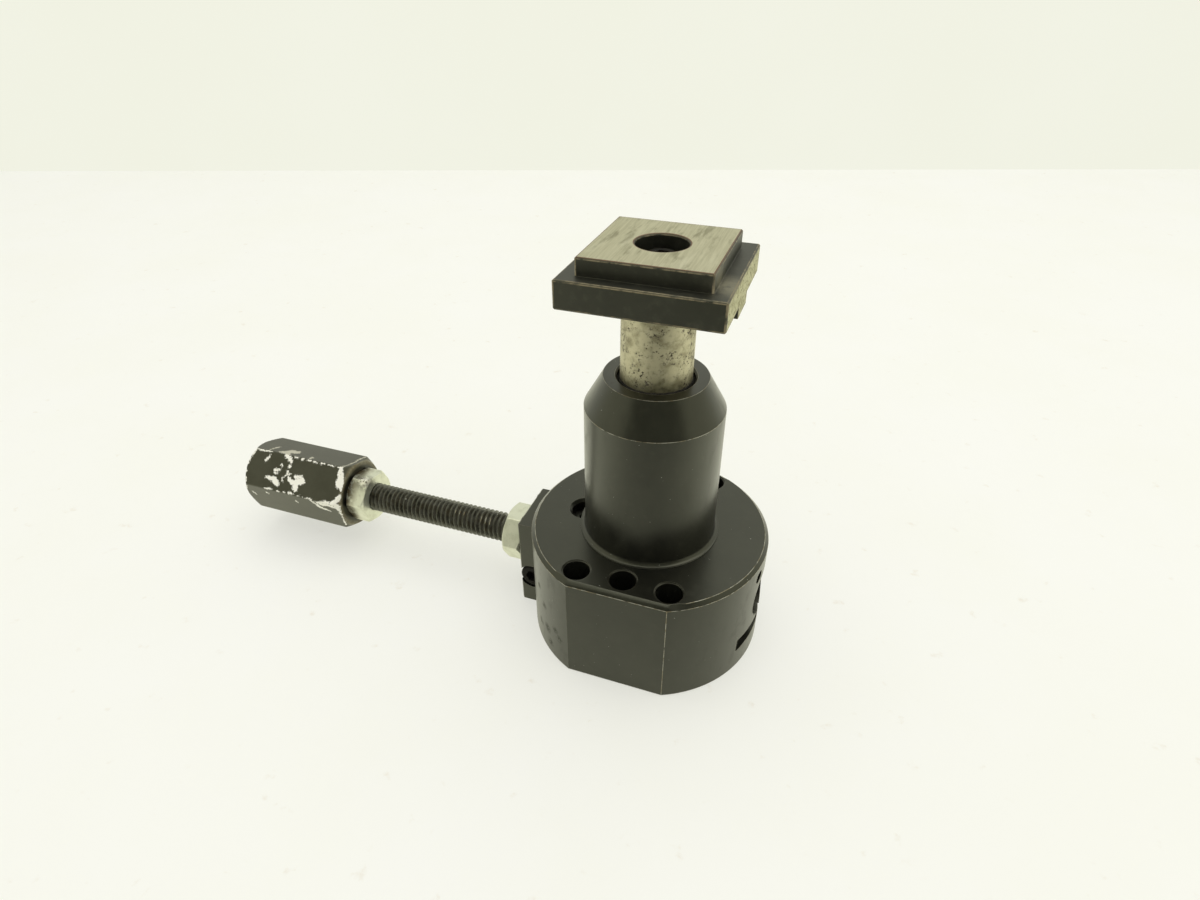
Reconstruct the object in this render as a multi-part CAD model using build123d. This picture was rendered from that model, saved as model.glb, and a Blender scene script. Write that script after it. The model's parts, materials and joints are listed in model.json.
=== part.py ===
from build123d import *
from math import radians, sqrt, tan
import os

# Adjustable work support: a spring-raised plunger in a turned housing, locked by a long hand screw.
# Millimetres, +Z up. The origin is the centre of the base's underside, on the plunger's axis.
# The flat of the base faces -Y and the lock screw runs out along -X.

# Base
BASE_RADIUS = 35.0
BASE_HEIGHT = 35.2
BASE_TOP_EDGE = 1.1
BASE_FOOT_EDGE = 0.4
FLAT_DISTANCE = 32.0
BOLT_HOLE_RADIUS = 3.75
BOLT_HOLE_X = 13.2
BOLT_HOLE_Y = 26.1
SIDE_HOLE_Y = BASE_RADIUS - 9.4
HOLE_EDGE = 0.75
GROOVE_DEPTH = 3.5
GROOVE_HEIGHT = 4.6
GROOVE_OVERLAP = 0.2

# Lock screw line, common to the block, the shoes, the nuts and the handle
LOCK_HEIGHT = 0.557 * BASE_HEIGHT
CROSS_BORE_RADIUS = 8.2

# Pocket and the split block in it
POCKET_FLOOR = BASE_RADIUS - 4.0
BLOCK_WIDTH = 19.05
BLOCK_DEPTH = 8.0
BLOCK_HEIGHT = BASE_HEIGHT - 4.1
BLOCK_EDGE = 0.4
SLIT_WIDTH = 1.6
POCKET_GAP = 0.05
BLOCK_SCREW_SIDE = 6.0
BLOCK_SCREW_DROP = 3.3
LOW_SCREW_SIDE = 5.2
LOW_SCREW_HEIGHT = 0.204 * LOCK_HEIGHT
BLOCK_SCREW_RADIUS = 1.75
BLOCK_SCREW_HEAD_RADIUS = 3.05
BLOCK_SCREW_LENGTH = 13.0

# Number 10 cap screws: one pinches the block, one holds the pad
CAP_HEAD_RADIUS = 3.96
CAP_HEAD_HEIGHT = 4.8
CAP_BODY_RADIUS = 2.4
CAP_SOCKET_FLATS = 3.97
CAP_SOCKET_DEPTH = 2.4
PINCH_X = POCKET_FLOOR + 4.2
PINCH_HEIGHT = 0.525 * LOCK_HEIGHT
PINCH_SEAT_RADIUS = 4.4
PINCH_SINK = 0.12
PINCH_BODY_LENGTH = 12.6
PAD_SCREW_LENGTH = 19.5

# Plunger
PLUNGER_RADIUS = 9.48
PLUNGER_TOP = 108.25
TRAVEL = 10.0
SPRING_BORE_RADIUS = 6.0
SPRING_BORE_TOP = 66.0
PAD_TAP_BOTTOM = 90.0
PLUNGER_EDGE = 0.5
PLUNGER_FOOT_GAP = 0.4
RUNNING_GAP = 0.05

# Housing
TOWER_RADIUS = 19.0
TOWER_TOP = 85.1
SHOULDER_HEIGHT = 76.2
TOWER_TOP_RADIUS = 13.95
TOWER_FOOT_FLARE = 1.4
TOWER_FOOT_LAND = 0.3
SPIGOT_RADIUS = 12.35
SPIGOT_GAP = 0.05
BUSH_RADIUS = 11.0
BUSH_BOTTOM = 57.0
BUSH_TOP = 80.5
SEAL_GROOVE_RADIUS = 11.9
SEAL_GROOVE_BOTTOM = 80.9
SEAL_GROOVE_TOP = 83.3
SEAL_GAP = 0.05
SEAL_LIP_RADIUS = 10.0
SEAL_LIP_TOP = 84.8
MOUTH_RADIUS = 10.3
MOUTH_EDGE = 0.5

# Housing screws and cover screws share one circle
SCREW_CIRCLE_RADIUS = 15.2
TOWER_SCREW_ANGLES = (60, 120, 240, 300)
TOWER_SCREW_RADIUS = 2.0
TOWER_SCREW_REACH = 8.8
TOWER_TAP_DEPTH = 10.8
TOWER_HEAD_RADIUS = 3.5
TOWER_HEAD_HEIGHT = 4.0
TOWER_SOCKET_FLATS = 3.0
TOWER_SOCKET_DEPTH = 2.0
COVER_SCREW_ANGLES = (0, 90, 180, 270)
COVER_SCREW_RADIUS = 1.75
COVER_SCREW_HEAD_RADIUS = 3.3
COVER_SCREW_LENGTH = 8.0
FLAT_SOCKET_FLATS = 2.0
FLAT_SOCKET_DEPTH = 1.0
TAP_RUN_OUT = 1.6
TAP_GAP = 0.02

# Bottom cover
COVER_RADIUS = 20.4
COVER_THICKNESS = 4.0
COVER_SINK = 0.4
COVER_GAP = 0.15
PILOT_RADIUS = 3.8
PILOT_HEIGHT = 5.0
PILOT_EDGE = 0.5

# Plunger spring, with one closed turn at each end
WIRE_RADIUS = 0.6
COIL_RADIUS = 4.6
COIL_TURNS = 10

# Guide pin and the set screw behind it
PIN_ANGLE = -11
PIN_RADIUS = 1.8
PIN_WALL = 0.4
PIN_INNER_END = 8.0
PIN_OUTER_END = 25.0
PIN_END_GAP = 0.1
PIN_PLUG_RADIUS = 2.0
PIN_PLUG_OUTER_END = BASE_RADIUS - 4.8
PIN_SOCKET_FLATS = 2.0
PIN_SOCKET_DEPTH = 2.0

# Rest pad
PAD_SIZE_X = 40.2
PAD_SIZE_Y = 39.4
PAD_LEDGE_HEIGHT = 7.25
PAD_BLOCK_X = 32.1
PAD_BLOCK_Y = 31.8
PAD_BLOCK_HEIGHT = 4.4
PAD_EDGE = 0.35
TONGUE_WIDTH = 10.0
TONGUE_DEPTH = 2.6
TONGUE_GAP = 0.03
PAD_SEAT_RADIUS = 6.45
PAD_SEAT_DEPTH = 7.4
SCREW_GAP = 0.15

# Lock screw
ROD_RADIUS = 4.76
ROD_INNER_END = 22.1
ROD_OUTER_END = 131.0
ROD_TIP_RADIUS = 3.2
ROD_TIP_LENGTH = 5.0
ROD_EDGE = 0.8
THREAD_GAP = 0.04
THREAD_PITCH = 25.4 / 16
THREAD_DEPTH = 0.9
THREAD_CREST = 0.2
NUT_FLATS = 15.875
NEAR_NUT_OUTER = 45.85
NEAR_NUT_INNER = 39.6
NEAR_NUT_ANGLE = 58.0
FAR_NUT_INNER = 97.2
FAR_NUT_ANGLE = 49.7
NUT_CHAMFER_ANGLE = 35.0
HANDLE_FLATS = 22.225
HANDLE_INNER = 104.0
HANDLE_LENGTH = 39.1
HANDLE_ANGLE = 44.85
HANDLE_CHAMFER_ANGLE = 45.0

# Shoes, key screw and backing plug
SHOE_GAP = 0.1
SHOE_FACE_GAP = 0.1
SHOE_HORN_END = 6.5
SHOE_LENGTH_END = 22.0
SHOE_SOCKET_GAP = 0.1
KEYWAY_WIDTH = 4.2
KEYWAY_DEPTH = 1.5
KEYWAY_INNER_END = 14.6
KEY_X = 20.1
KEY_BODY_RADIUS = 4.15
KEY_BODY_RISE = 0.5
KEY_SINK = 3.6
KEY_DOG_RADIUS = 2.0
KEY_DOG_GAP = 0.2
KEY_SOCKET_FLATS = 4.0
KEY_HOLE_EDGE = 0.85
REACTION_SHOE_END = 20.0
PLUG_OUTER_END = BASE_RADIUS - 3.8
PLUG_SOCKET_FLATS = 8.0
PLUG_SOCKET_DEPTH = 5.0

# Length by which a cutting tool overshoots a round wall
OVERCUT = 1.0

# Places worked out from the sizes above
CUT_RADIUS = BASE_RADIUS + OVERCUT
BORE_TOP = LOCK_HEIGHT + CROSS_BORE_RADIUS
BORE_BOTTOM = LOCK_HEIGHT - CROSS_BORE_RADIUS
PIN_HEIGHT = BORE_TOP + PIN_WALL + PIN_RADIUS
SPIGOT_BOTTOM = PIN_HEIGHT + PIN_RADIUS + PIN_WALL
COVER_TOP = COVER_SINK + COVER_THICKNESS
PLUNGER_BOTTOM = COVER_TOP + TRAVEL + PLUNGER_FOOT_GAP
GUIDE_RADIUS = PLUNGER_RADIUS + RUNNING_GAP
SHOE_RADIUS = CROSS_BORE_RADIUS - SHOE_GAP
SHOE_FACE_RADIUS = PLUNGER_RADIUS + SHOE_FACE_GAP
PAD_LEDGE_TOP = PLUNGER_TOP + PAD_LEDGE_HEIGHT
PAD_TOP = PAD_LEDGE_TOP + PAD_BLOCK_HEIGHT
PAD_SEAT_HEIGHT = PAD_TOP - PAD_SEAT_DEPTH
BLOCK_FACE = POCKET_FLOOR + BLOCK_DEPTH
BLOCK_SCREW_PLACES = (
    (-BLOCK_SCREW_SIDE, BLOCK_HEIGHT - BLOCK_SCREW_DROP),
    (BLOCK_SCREW_SIDE, BLOCK_HEIGHT - BLOCK_SCREW_DROP),
    (LOW_SCREW_SIDE, LOW_SCREW_HEIGHT),
)
KEY_BODY_BOTTOM = BORE_TOP + KEY_BODY_RISE
KEY_BODY_TOP = BASE_HEIGHT - KEY_SINK
KEY_DOG_BOTTOM = LOCK_HEIGHT + SHOE_RADIUS - KEYWAY_DEPTH + KEY_DOG_GAP
PINCH_FACE_Y = PINCH_SINK - BLOCK_WIDTH / 2
PINCH_SEAT_Y = PINCH_FACE_Y + CAP_HEAD_HEIGHT


def disc(radius, low, high):
    """Upright cylinder on the Z axis between two heights."""
    return Pos(0, 0, low) * Cylinder(radius, high - low, align=(Align.CENTER, Align.CENTER, Align.MIN))


def along_x(radius, start, end, height=LOCK_HEIGHT):
    """Cylinder along X between two places."""
    return Pos(start, 0, height) * Rot(0, 90, 0) * disc(radius, 0, end - start)


def slab(x_span, y_span, z_span):
    """Box between pairs of places along X, Y and Z."""
    lows = Pos(x_span[0], y_span[0], z_span[0])
    lengths = (x_span[1] - x_span[0], y_span[1] - y_span[0], z_span[1] - z_span[0])
    return lows * Box(*lengths, align=(Align.MIN, Align.MIN, Align.MIN))


def turned(points):
    """Solid of revolution about Z from (radius, height) corners."""
    return revolve(Plane.XZ * make_face(Polyline(*points, close=True)), axis=Axis.Z)


def edge_cut(radius, depth, height):
    """Cone that breaks the upper edge of an upright hole."""
    return turned([(0, height - depth - radius), (radius + depth, height), (0, height)])


def ring_places(radius, angles):
    """Places on a circle round the Z axis."""
    return [Rot(0, 0, angle) * Pos(radius, 0, 0) for angle in angles]


def hexagon(across_flats, low, high, corner_angle=0):
    """Upright hexagon bar between two heights."""
    outline = Rot(0, 0, corner_angle) * RegularPolygon(across_flats / sqrt(3), 6)
    return Pos(0, 0, low) * extrude(outline, high - low)


def threaded_hexagon(across_flats, length, corner_angle, chamfer_angle):
    """Hexagon piece on the rod: tapped through, with both ends turned to a round face."""
    face_radius = across_flats / 2
    corner_radius = across_flats / sqrt(3)
    depth = (corner_radius - face_radius) * tan(radians(chamfer_angle))
    blank = turned([(0, 0), (face_radius, 0), (corner_radius, depth), (corner_radius, length - depth),
                    (face_radius, length), (0, length)])
    piece = hexagon(across_flats, 0, length, corner_angle + 90) & blank
    return piece - disc(ROD_RADIUS + THREAD_GAP, 0, length)


def on_rod(x):
    """Place on the rod's line with the local Z axis turned to +X."""
    return Pos(x, 0, LOCK_HEIGHT) * Rot(0, 90, 0)


def cap_screw(head_radius, head_height, body_radius, body_length, socket_flats, socket_depth):
    """Socket cap screw: the head stands on the XY plane and the body points down."""
    edge = head_height / 10
    tip = body_radius / 4
    screw = turned([(0, -body_length), (body_radius - tip, -body_length), (body_radius, tip - body_length),
                    (body_radius, 0), (head_radius, 0), (head_radius, head_height - edge),
                    (head_radius - edge, head_height), (0, head_height)])
    return screw - hexagon(socket_flats, head_height - socket_depth, head_height)


def flat_screw(head_radius, body_radius, length):
    """Flat-head screw: its face lies in the XY plane and the body points down."""
    rim = body_radius / 8
    tip = body_radius / 4
    neck = body_radius - head_radius - rim
    screw = turned([(0, 0), (head_radius, 0), (head_radius, -rim), (body_radius, neck),
                    (body_radius, tip - length), (body_radius - tip, -length), (0, -length)])
    return screw - hexagon(FLAT_SOCKET_FLATS, -FLAT_SOCKET_DEPTH, 0)


def flat_screw_hole(head_radius, body_radius, length):
    """Countersunk hole for a flat-head screw, with the tap's run-out below."""
    rim = body_radius / 8
    neck = body_radius - head_radius - rim
    floor = -length - TAP_RUN_OUT
    head = head_radius + TAP_GAP
    body = body_radius + TAP_GAP
    return turned([(0, 0), (head, 0), (head, -rim), (body, neck), (body, floor), (0, floor)])


def pin_line():
    """Place on the guide pin's line with the local Z axis pointing outward."""
    return Rot(0, 0, PIN_ANGLE) * Pos(0, 0, PIN_HEIGHT) * Rot(0, 90, 0)


def block_screw_lines():
    """Places of the block screws in the block's outer face, with the local Z axis outward."""
    return [Pos(-BLOCK_FACE, y, z) * Rot(0, -90, 0) for y, z in BLOCK_SCREW_PLACES]


def base_body():
    """Turned base with its flat, before any hole."""
    body = turned([(0, 0), (BASE_RADIUS - BASE_FOOT_EDGE, 0), (BASE_RADIUS, BASE_FOOT_EDGE),
                   (BASE_RADIUS, BASE_HEIGHT - BASE_TOP_EDGE), (BASE_RADIUS - BASE_TOP_EDGE, BASE_HEIGHT),
                   (0, BASE_HEIGHT)])
    flat_cut = extrude(Plane.YZ.offset(-CUT_RADIUS) * make_face(Polyline(
        (-2 * BASE_RADIUS, 0), (BASE_FOOT_EDGE - FLAT_DISTANCE, 0), (-FLAT_DISTANCE, BASE_FOOT_EDGE),
        (-FLAT_DISTANCE, BASE_HEIGHT - BASE_TOP_EDGE), (BASE_TOP_EDGE - FLAT_DISTANCE, BASE_HEIGHT),
        (-2 * BASE_RADIUS, BASE_HEIGHT), close=True)), 2 * CUT_RADIUS)
    return body - flat_cut


def bolt_holes():
    """Six upright holes with a broken upper edge."""
    places = [(x, y) for x in (-BOLT_HOLE_X, BOLT_HOLE_X) for y in (-BOLT_HOLE_Y, BOLT_HOLE_Y)]
    places += [(0, -SIDE_HOLE_Y), (0, SIDE_HOLE_Y)]
    hole = disc(BOLT_HOLE_RADIUS, 0, BASE_HEIGHT) + edge_cut(BOLT_HOLE_RADIUS, HOLE_EDGE, BASE_HEIGHT)
    return [Pos(x, y, 0) * hole for x, y in places]


def base_bores():
    """Guide bore, seats, cross bore and the hole of the key screw."""
    key_hole = disc(KEY_BODY_RADIUS + RUNNING_GAP, LOCK_HEIGHT, BASE_HEIGHT)
    key_hole += edge_cut(KEY_BODY_RADIUS + RUNNING_GAP, KEY_HOLE_EDGE, BASE_HEIGHT)
    return [
        disc(GUIDE_RADIUS, 0, BASE_HEIGHT),
        disc(SPIGOT_RADIUS + SPIGOT_GAP, SPIGOT_BOTTOM, BASE_HEIGHT),
        disc(COVER_RADIUS + COVER_GAP, 0, COVER_TOP),
        along_x(CROSS_BORE_RADIUS, -POCKET_FLOOR, CUT_RADIUS),
        Pos(-KEY_X, 0, 0) * key_hole,
    ]


def base_pocket_and_groove():
    """Pocket of the split block and the toe-clamp groove."""
    half = BLOCK_WIDTH / 2 + POCKET_GAP
    groove_top = BORE_BOTTOM + GROOVE_OVERLAP
    return [
        slab((-CUT_RADIUS, -POCKET_FLOOR), (-half, half), (0, BLOCK_HEIGHT + POCKET_GAP)),
        slab((BASE_RADIUS - GROOVE_DEPTH, CUT_RADIUS), (-BASE_RADIUS, BASE_RADIUS),
             (groove_top - GROOVE_HEIGHT, groove_top)),
    ]


def base_screw_holes():
    """Holes of the housing screws, cover screws, block screws and guide pin."""
    head_seat = COVER_TOP + TOWER_HEAD_HEIGHT + SCREW_GAP
    tower_hole = disc(TOWER_SCREW_RADIUS + SCREW_GAP, 0, BASE_HEIGHT)
    tower_hole += disc(TOWER_HEAD_RADIUS + SCREW_GAP, 0, head_seat)
    cover_hole = disc(COVER_SCREW_RADIUS + TAP_GAP, 0, COVER_SINK + COVER_SCREW_LENGTH + TAP_RUN_OUT)
    block_hole = flat_screw_hole(BLOCK_SCREW_HEAD_RADIUS, BLOCK_SCREW_RADIUS, BLOCK_SCREW_LENGTH)
    holes = [place * tower_hole for place in ring_places(SCREW_CIRCLE_RADIUS, TOWER_SCREW_ANGLES)]
    holes += [place * cover_hole for place in ring_places(SCREW_CIRCLE_RADIUS, COVER_SCREW_ANGLES)]
    holes += [line * block_hole for line in block_screw_lines()]
    holes.append(pin_line() * disc(PIN_RADIUS + TAP_GAP, 0, PIN_OUTER_END))
    holes.append(pin_line() * disc(PIN_PLUG_RADIUS + TAP_GAP, PIN_OUTER_END, CUT_RADIUS))
    return holes


def base_block():
    """Base with all its holes."""
    cuts = bolt_holes() + base_bores() + base_pocket_and_groove() + base_screw_holes()
    return base_body() - cuts


def tower():
    """Turned housing: flared foot, coned shoulder, spigot below, bush bore and seal groove inside."""
    foot_radius = TOWER_RADIUS + TOWER_FOOT_FLARE
    land_top = BASE_HEIGHT + TOWER_FOOT_LAND
    outline = [
        Polyline((BUSH_RADIUS, SPIGOT_BOTTOM), (SPIGOT_RADIUS, SPIGOT_BOTTOM), (SPIGOT_RADIUS, BASE_HEIGHT),
                 (foot_radius, BASE_HEIGHT), (foot_radius, land_top)),
        CenterArc((foot_radius, land_top + TOWER_FOOT_FLARE), TOWER_FOOT_FLARE, 180, 90),
        Polyline((TOWER_RADIUS, land_top + TOWER_FOOT_FLARE), (TOWER_RADIUS, SHOULDER_HEIGHT),
                 (TOWER_TOP_RADIUS, TOWER_TOP), (MOUTH_RADIUS + MOUTH_EDGE, TOWER_TOP),
                 (MOUTH_RADIUS, TOWER_TOP - MOUTH_EDGE), (MOUTH_RADIUS, SEAL_GROOVE_TOP),
                 (SEAL_GROOVE_RADIUS, SEAL_GROOVE_TOP),
                 (SEAL_GROOVE_RADIUS, SEAL_GROOVE_BOTTOM), (MOUTH_RADIUS, SEAL_GROOVE_BOTTOM),
                 (MOUTH_RADIUS, BUSH_TOP), (BUSH_RADIUS, BUSH_TOP), (BUSH_RADIUS, SPIGOT_BOTTOM)),
    ]
    housing = revolve(Plane.XZ * make_face(outline), axis=Axis.Z)
    tapped_hole = disc(TOWER_SCREW_RADIUS + TAP_GAP, BASE_HEIGHT, BASE_HEIGHT + TOWER_TAP_DEPTH)
    return housing - [place * tapped_hole for place in ring_places(SCREW_CIRCLE_RADIUS, TOWER_SCREW_ANGLES)]


def tower_screws():
    """Four cap screws that pull the housing down from inside the base."""
    head_top = COVER_TOP + SCREW_GAP + TOWER_HEAD_HEIGHT
    body_length = BASE_HEIGHT + TOWER_SCREW_REACH - head_top
    screw = cap_screw(TOWER_HEAD_RADIUS, TOWER_HEAD_HEIGHT, TOWER_SCREW_RADIUS, body_length,
                      TOWER_SOCKET_FLATS, TOWER_SOCKET_DEPTH)
    screw = Pos(0, 0, head_top) * Rot(180, 0, 0) * screw
    return [place * screw for place in ring_places(SCREW_CIRCLE_RADIUS, TOWER_SCREW_ANGLES)]


def guide_bush():
    """Plain bush pressed into the housing."""
    return disc(BUSH_RADIUS, BUSH_BOTTOM, BUSH_TOP) - disc(GUIDE_RADIUS, BUSH_BOTTOM, BUSH_TOP)


def wiper_seal():
    """Rubber ring with a lip that rises along the plunger."""
    outer = SEAL_GROOVE_RADIUS - SEAL_GAP
    low = SEAL_GROOVE_BOTTOM + SEAL_GAP
    high = SEAL_GROOVE_TOP - SEAL_GAP
    return turned([(GUIDE_RADIUS, low), (outer, low), (outer, high), (SEAL_LIP_RADIUS, high),
                   (GUIDE_RADIUS + SEAL_GAP, SEAL_LIP_TOP), (GUIDE_RADIUS, SEAL_LIP_TOP)])


def guide_slot():
    """Slot in the plunger that runs on the guide pin, as long as the travel."""
    half_width = PIN_RADIUS + RUNNING_GAP
    low = PIN_HEIGHT - PIN_END_GAP
    high = PIN_HEIGHT + TRAVEL + PIN_END_GAP
    floor = PIN_INNER_END - PIN_END_GAP
    reach = PLUNGER_RADIUS + OVERCUT
    ends = [Pos(0, 0, z) * Rot(0, 90, 0) * disc(half_width, floor, reach) for z in (low, high)]
    middle = slab((floor, reach), (-half_width, half_width), (low, high))
    return Rot(0, 0, PIN_ANGLE) * (middle + ends)


def plunger():
    """Ground plunger: spring bore below, tapped hole and tongue slot above, guide slot in the side."""
    body = turned([(0, PLUNGER_BOTTOM), (PLUNGER_RADIUS - PLUNGER_EDGE, PLUNGER_BOTTOM),
                   (PLUNGER_RADIUS, PLUNGER_BOTTOM + PLUNGER_EDGE), (PLUNGER_RADIUS, PLUNGER_TOP),
                   (0, PLUNGER_TOP)])
    half_slot = TONGUE_WIDTH / 2 + TONGUE_GAP
    slot_floor = PLUNGER_TOP - TONGUE_DEPTH - RUNNING_GAP
    reach = PLUNGER_RADIUS + OVERCUT
    tongue_slot = slab((-reach, reach), (-half_slot, half_slot), (slot_floor, PLUNGER_TOP))
    cuts = [disc(SPRING_BORE_RADIUS, PLUNGER_BOTTOM, SPRING_BORE_TOP),
            disc(CAP_BODY_RADIUS + TAP_GAP, PAD_TAP_BOTTOM, PLUNGER_TOP), tongue_slot, guide_slot()]
    return body - cuts


def spring_turns(low, pitch, turns):
    """Whole turns of spring wire from a given height of the wire's centre."""
    path = Pos(0, 0, low) * Helix(pitch, pitch * turns, COIL_RADIUS)
    section = Plane(origin=path @ 0, z_dir=path % 0) * Circle(WIRE_RADIUS)
    return sweep(section, path=path, is_frenet=True)


def plunger_spring():
    """Coil spring between the cover and the top of the plunger's bore."""
    low = COVER_TOP + WIRE_RADIUS
    high = SPRING_BORE_TOP - WIRE_RADIUS
    return spring_turns(low, (high - low) / COIL_TURNS, COIL_TURNS)


def bottom_cover():
    """Round cover with a pilot that centres the spring."""
    cover = disc(COVER_RADIUS, COVER_SINK, COVER_TOP)
    pilot_top = COVER_TOP + PILOT_HEIGHT
    pilot = turned([(0, COVER_TOP), (PILOT_RADIUS, COVER_TOP), (PILOT_RADIUS, pilot_top - PILOT_EDGE),
                    (PILOT_RADIUS - PILOT_EDGE, pilot_top), (0, pilot_top)])
    hole = Pos(0, 0, COVER_SINK) * Rot(180, 0, 0) * flat_screw_hole(
        COVER_SCREW_HEAD_RADIUS, COVER_SCREW_RADIUS, COVER_SCREW_LENGTH)
    return cover + pilot - [place * hole for place in ring_places(SCREW_CIRCLE_RADIUS, COVER_SCREW_ANGLES)]


def bottom_cover_screws():
    """Four flat-head screws in the cover's underside."""
    screw = Pos(0, 0, COVER_SINK) * Rot(180, 0, 0) * flat_screw(
        COVER_SCREW_HEAD_RADIUS, COVER_SCREW_RADIUS, COVER_SCREW_LENGTH)
    return [place * screw for place in ring_places(SCREW_CIRCLE_RADIUS, COVER_SCREW_ANGLES)]


def guide_pin():
    """Pin that stands in the plunger's slot."""
    return pin_line() * disc(PIN_RADIUS, PIN_INNER_END, PIN_OUTER_END)


def guide_pin_plug():
    """Set screw behind the guide pin."""
    plug = disc(PIN_PLUG_RADIUS, PIN_OUTER_END, PIN_PLUG_OUTER_END)
    socket = hexagon(PIN_SOCKET_FLATS, PIN_PLUG_OUTER_END - PIN_SOCKET_DEPTH, PIN_PLUG_OUTER_END)
    return pin_line() * (plug - socket)


def rest_pad():
    """Stepped square pad with a full-width tongue below and a deep seat for its screw."""
    half_x = PAD_SIZE_X / 2
    half_y = PAD_SIZE_Y / 2
    ledge = slab((-half_x, half_x), (-half_y, half_y), (PLUNGER_TOP, PAD_LEDGE_TOP))
    ledge = chamfer(ledge.edges(), PAD_EDGE)
    half_block_x = PAD_BLOCK_X / 2
    half_block_y = PAD_BLOCK_Y / 2
    raised = slab((-half_block_x, half_block_x), (-half_block_y, half_block_y),
                  (PAD_LEDGE_TOP - PAD_EDGE, PAD_TOP))
    raised = chamfer(raised.edges().filter_by(Axis.Z) + raised.edges().group_by(Axis.Z)[-1], PAD_EDGE)
    tongue_half = TONGUE_WIDTH / 2
    tongue = slab((-half_x, half_x), (-tongue_half, tongue_half),
                  (PLUNGER_TOP - TONGUE_DEPTH, PLUNGER_TOP + PAD_EDGE))
    pad = ledge + raised + tongue
    seat = disc(PAD_SEAT_RADIUS, PAD_SEAT_HEIGHT, PAD_TOP) + edge_cut(PAD_SEAT_RADIUS, PAD_EDGE, PAD_TOP)
    return pad - seat - disc(CAP_BODY_RADIUS + SCREW_GAP, PLUNGER_TOP - TONGUE_DEPTH, PAD_SEAT_HEIGHT)


def number_ten_screw(body_length):
    """Number 10 cap screw of a given length."""
    return cap_screw(CAP_HEAD_RADIUS, CAP_HEAD_HEIGHT, CAP_BODY_RADIUS, body_length,
                     CAP_SOCKET_FLATS, CAP_SOCKET_DEPTH)


def pad_screw():
    """Cap screw that holds the pad on the plunger."""
    return Pos(0, 0, PAD_SEAT_HEIGHT) * number_ten_screw(PAD_SCREW_LENGTH)


def pinch_line():
    """Place of the pinch screw's seat with the local Z axis toward the front of the block."""
    return Pos(-PINCH_X, PINCH_SEAT_Y, PINCH_HEIGHT) * Rot(90, 0, 0)


def pinch_screw():
    """Cap screw across the slit of the block."""
    return pinch_line() * number_ten_screw(PINCH_BODY_LENGTH)


def lock_block():
    """Split nut of the lock screw: tapped bore, slit below it, pinch screw seat and three screw holes."""
    half = BLOCK_WIDTH / 2
    block = slab((-BLOCK_FACE, -POCKET_FLOOR), (-half, half), (0, BLOCK_HEIGHT))
    block = chamfer(block.faces().sort_by(Axis.X)[0].edges(), BLOCK_EDGE)
    slit = slab((-BLOCK_FACE, -POCKET_FLOOR), (-SLIT_WIDTH / 2, SLIT_WIDTH / 2), (0, LOCK_HEIGHT))
    seat = disc(PINCH_SEAT_RADIUS, 0, CAP_HEAD_HEIGHT + OVERCUT)
    pinch_hole = seat + disc(CAP_BODY_RADIUS + TAP_GAP, -PINCH_BODY_LENGTH - SCREW_GAP, 0)
    near_hole = disc(CAP_BODY_RADIUS + SCREW_GAP, PINCH_SEAT_Y - SLIT_WIDTH / 2, 0)
    screw_hole = flat_screw_hole(BLOCK_SCREW_HEAD_RADIUS, BLOCK_SCREW_RADIUS, BLOCK_SCREW_LENGTH)
    cuts = [along_x(ROD_RADIUS + THREAD_GAP, -BLOCK_FACE, -POCKET_FLOOR), slit,
            pinch_line() * pinch_hole, pinch_line() * near_hole]
    return block - cuts - [line * screw_hole for line in block_screw_lines()]


def block_screws():
    """Three flat-head screws that hold the block in its pocket."""
    screw = flat_screw(BLOCK_SCREW_HEAD_RADIUS, BLOCK_SCREW_RADIUS, BLOCK_SCREW_LENGTH)
    return [line * screw for line in block_screw_lines()]


def thread_rings(start, end):
    """Radius and height corners of the thread's grooves, as many whole pitches as fit between two places."""
    root = ROD_RADIUS - THREAD_DEPTH
    middle = (THREAD_PITCH - THREAD_CREST) / 2
    places = [start + turn * THREAD_PITCH for turn in range(int((end - start) / THREAD_PITCH))]
    corners = [((ROD_RADIUS, place), (root, place + middle), (ROD_RADIUS, place + 2 * middle))
               for place in places]
    return [corner for groove in corners for corner in groove]


def lock_rod():
    """Lock screw: its thread drawn as rings where it shows between the nuts, and a turned tip."""
    length = ROD_OUTER_END - ROD_INNER_END
    thread = thread_rings(ROD_OUTER_END - FAR_NUT_INNER + THREAD_CREST, ROD_OUTER_END - NEAR_NUT_OUTER)
    rod = turned([(0, 0), (ROD_RADIUS - ROD_EDGE, 0), (ROD_RADIUS, ROD_EDGE), *thread,
                  (ROD_RADIUS, length - ROD_EDGE), (ROD_RADIUS - ROD_EDGE, length), (ROD_TIP_RADIUS, length),
                  (ROD_TIP_RADIUS, length + ROD_TIP_LENGTH), (0, length + ROD_TIP_LENGTH)])
    return on_rod(-ROD_OUTER_END) * rod


def near_lock_nut():
    """Thin nut by the block."""
    nut = threaded_hexagon(NUT_FLATS, NEAR_NUT_OUTER - NEAR_NUT_INNER, NEAR_NUT_ANGLE, NUT_CHAMFER_ANGLE)
    return on_rod(-NEAR_NUT_OUTER) * nut


def far_lock_nut():
    """Thin nut that jams against the handle."""
    nut = threaded_hexagon(NUT_FLATS, HANDLE_INNER - FAR_NUT_INNER, FAR_NUT_ANGLE, NUT_CHAMFER_ANGLE)
    return on_rod(-HANDLE_INNER) * nut


def hex_handle():
    """Hexagon bar tapped through."""
    bar = threaded_hexagon(HANDLE_FLATS, HANDLE_LENGTH, HANDLE_ANGLE, HANDLE_CHAMFER_ANGLE)
    return on_rod(-HANDLE_INNER - HANDLE_LENGTH) * bar


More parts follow.
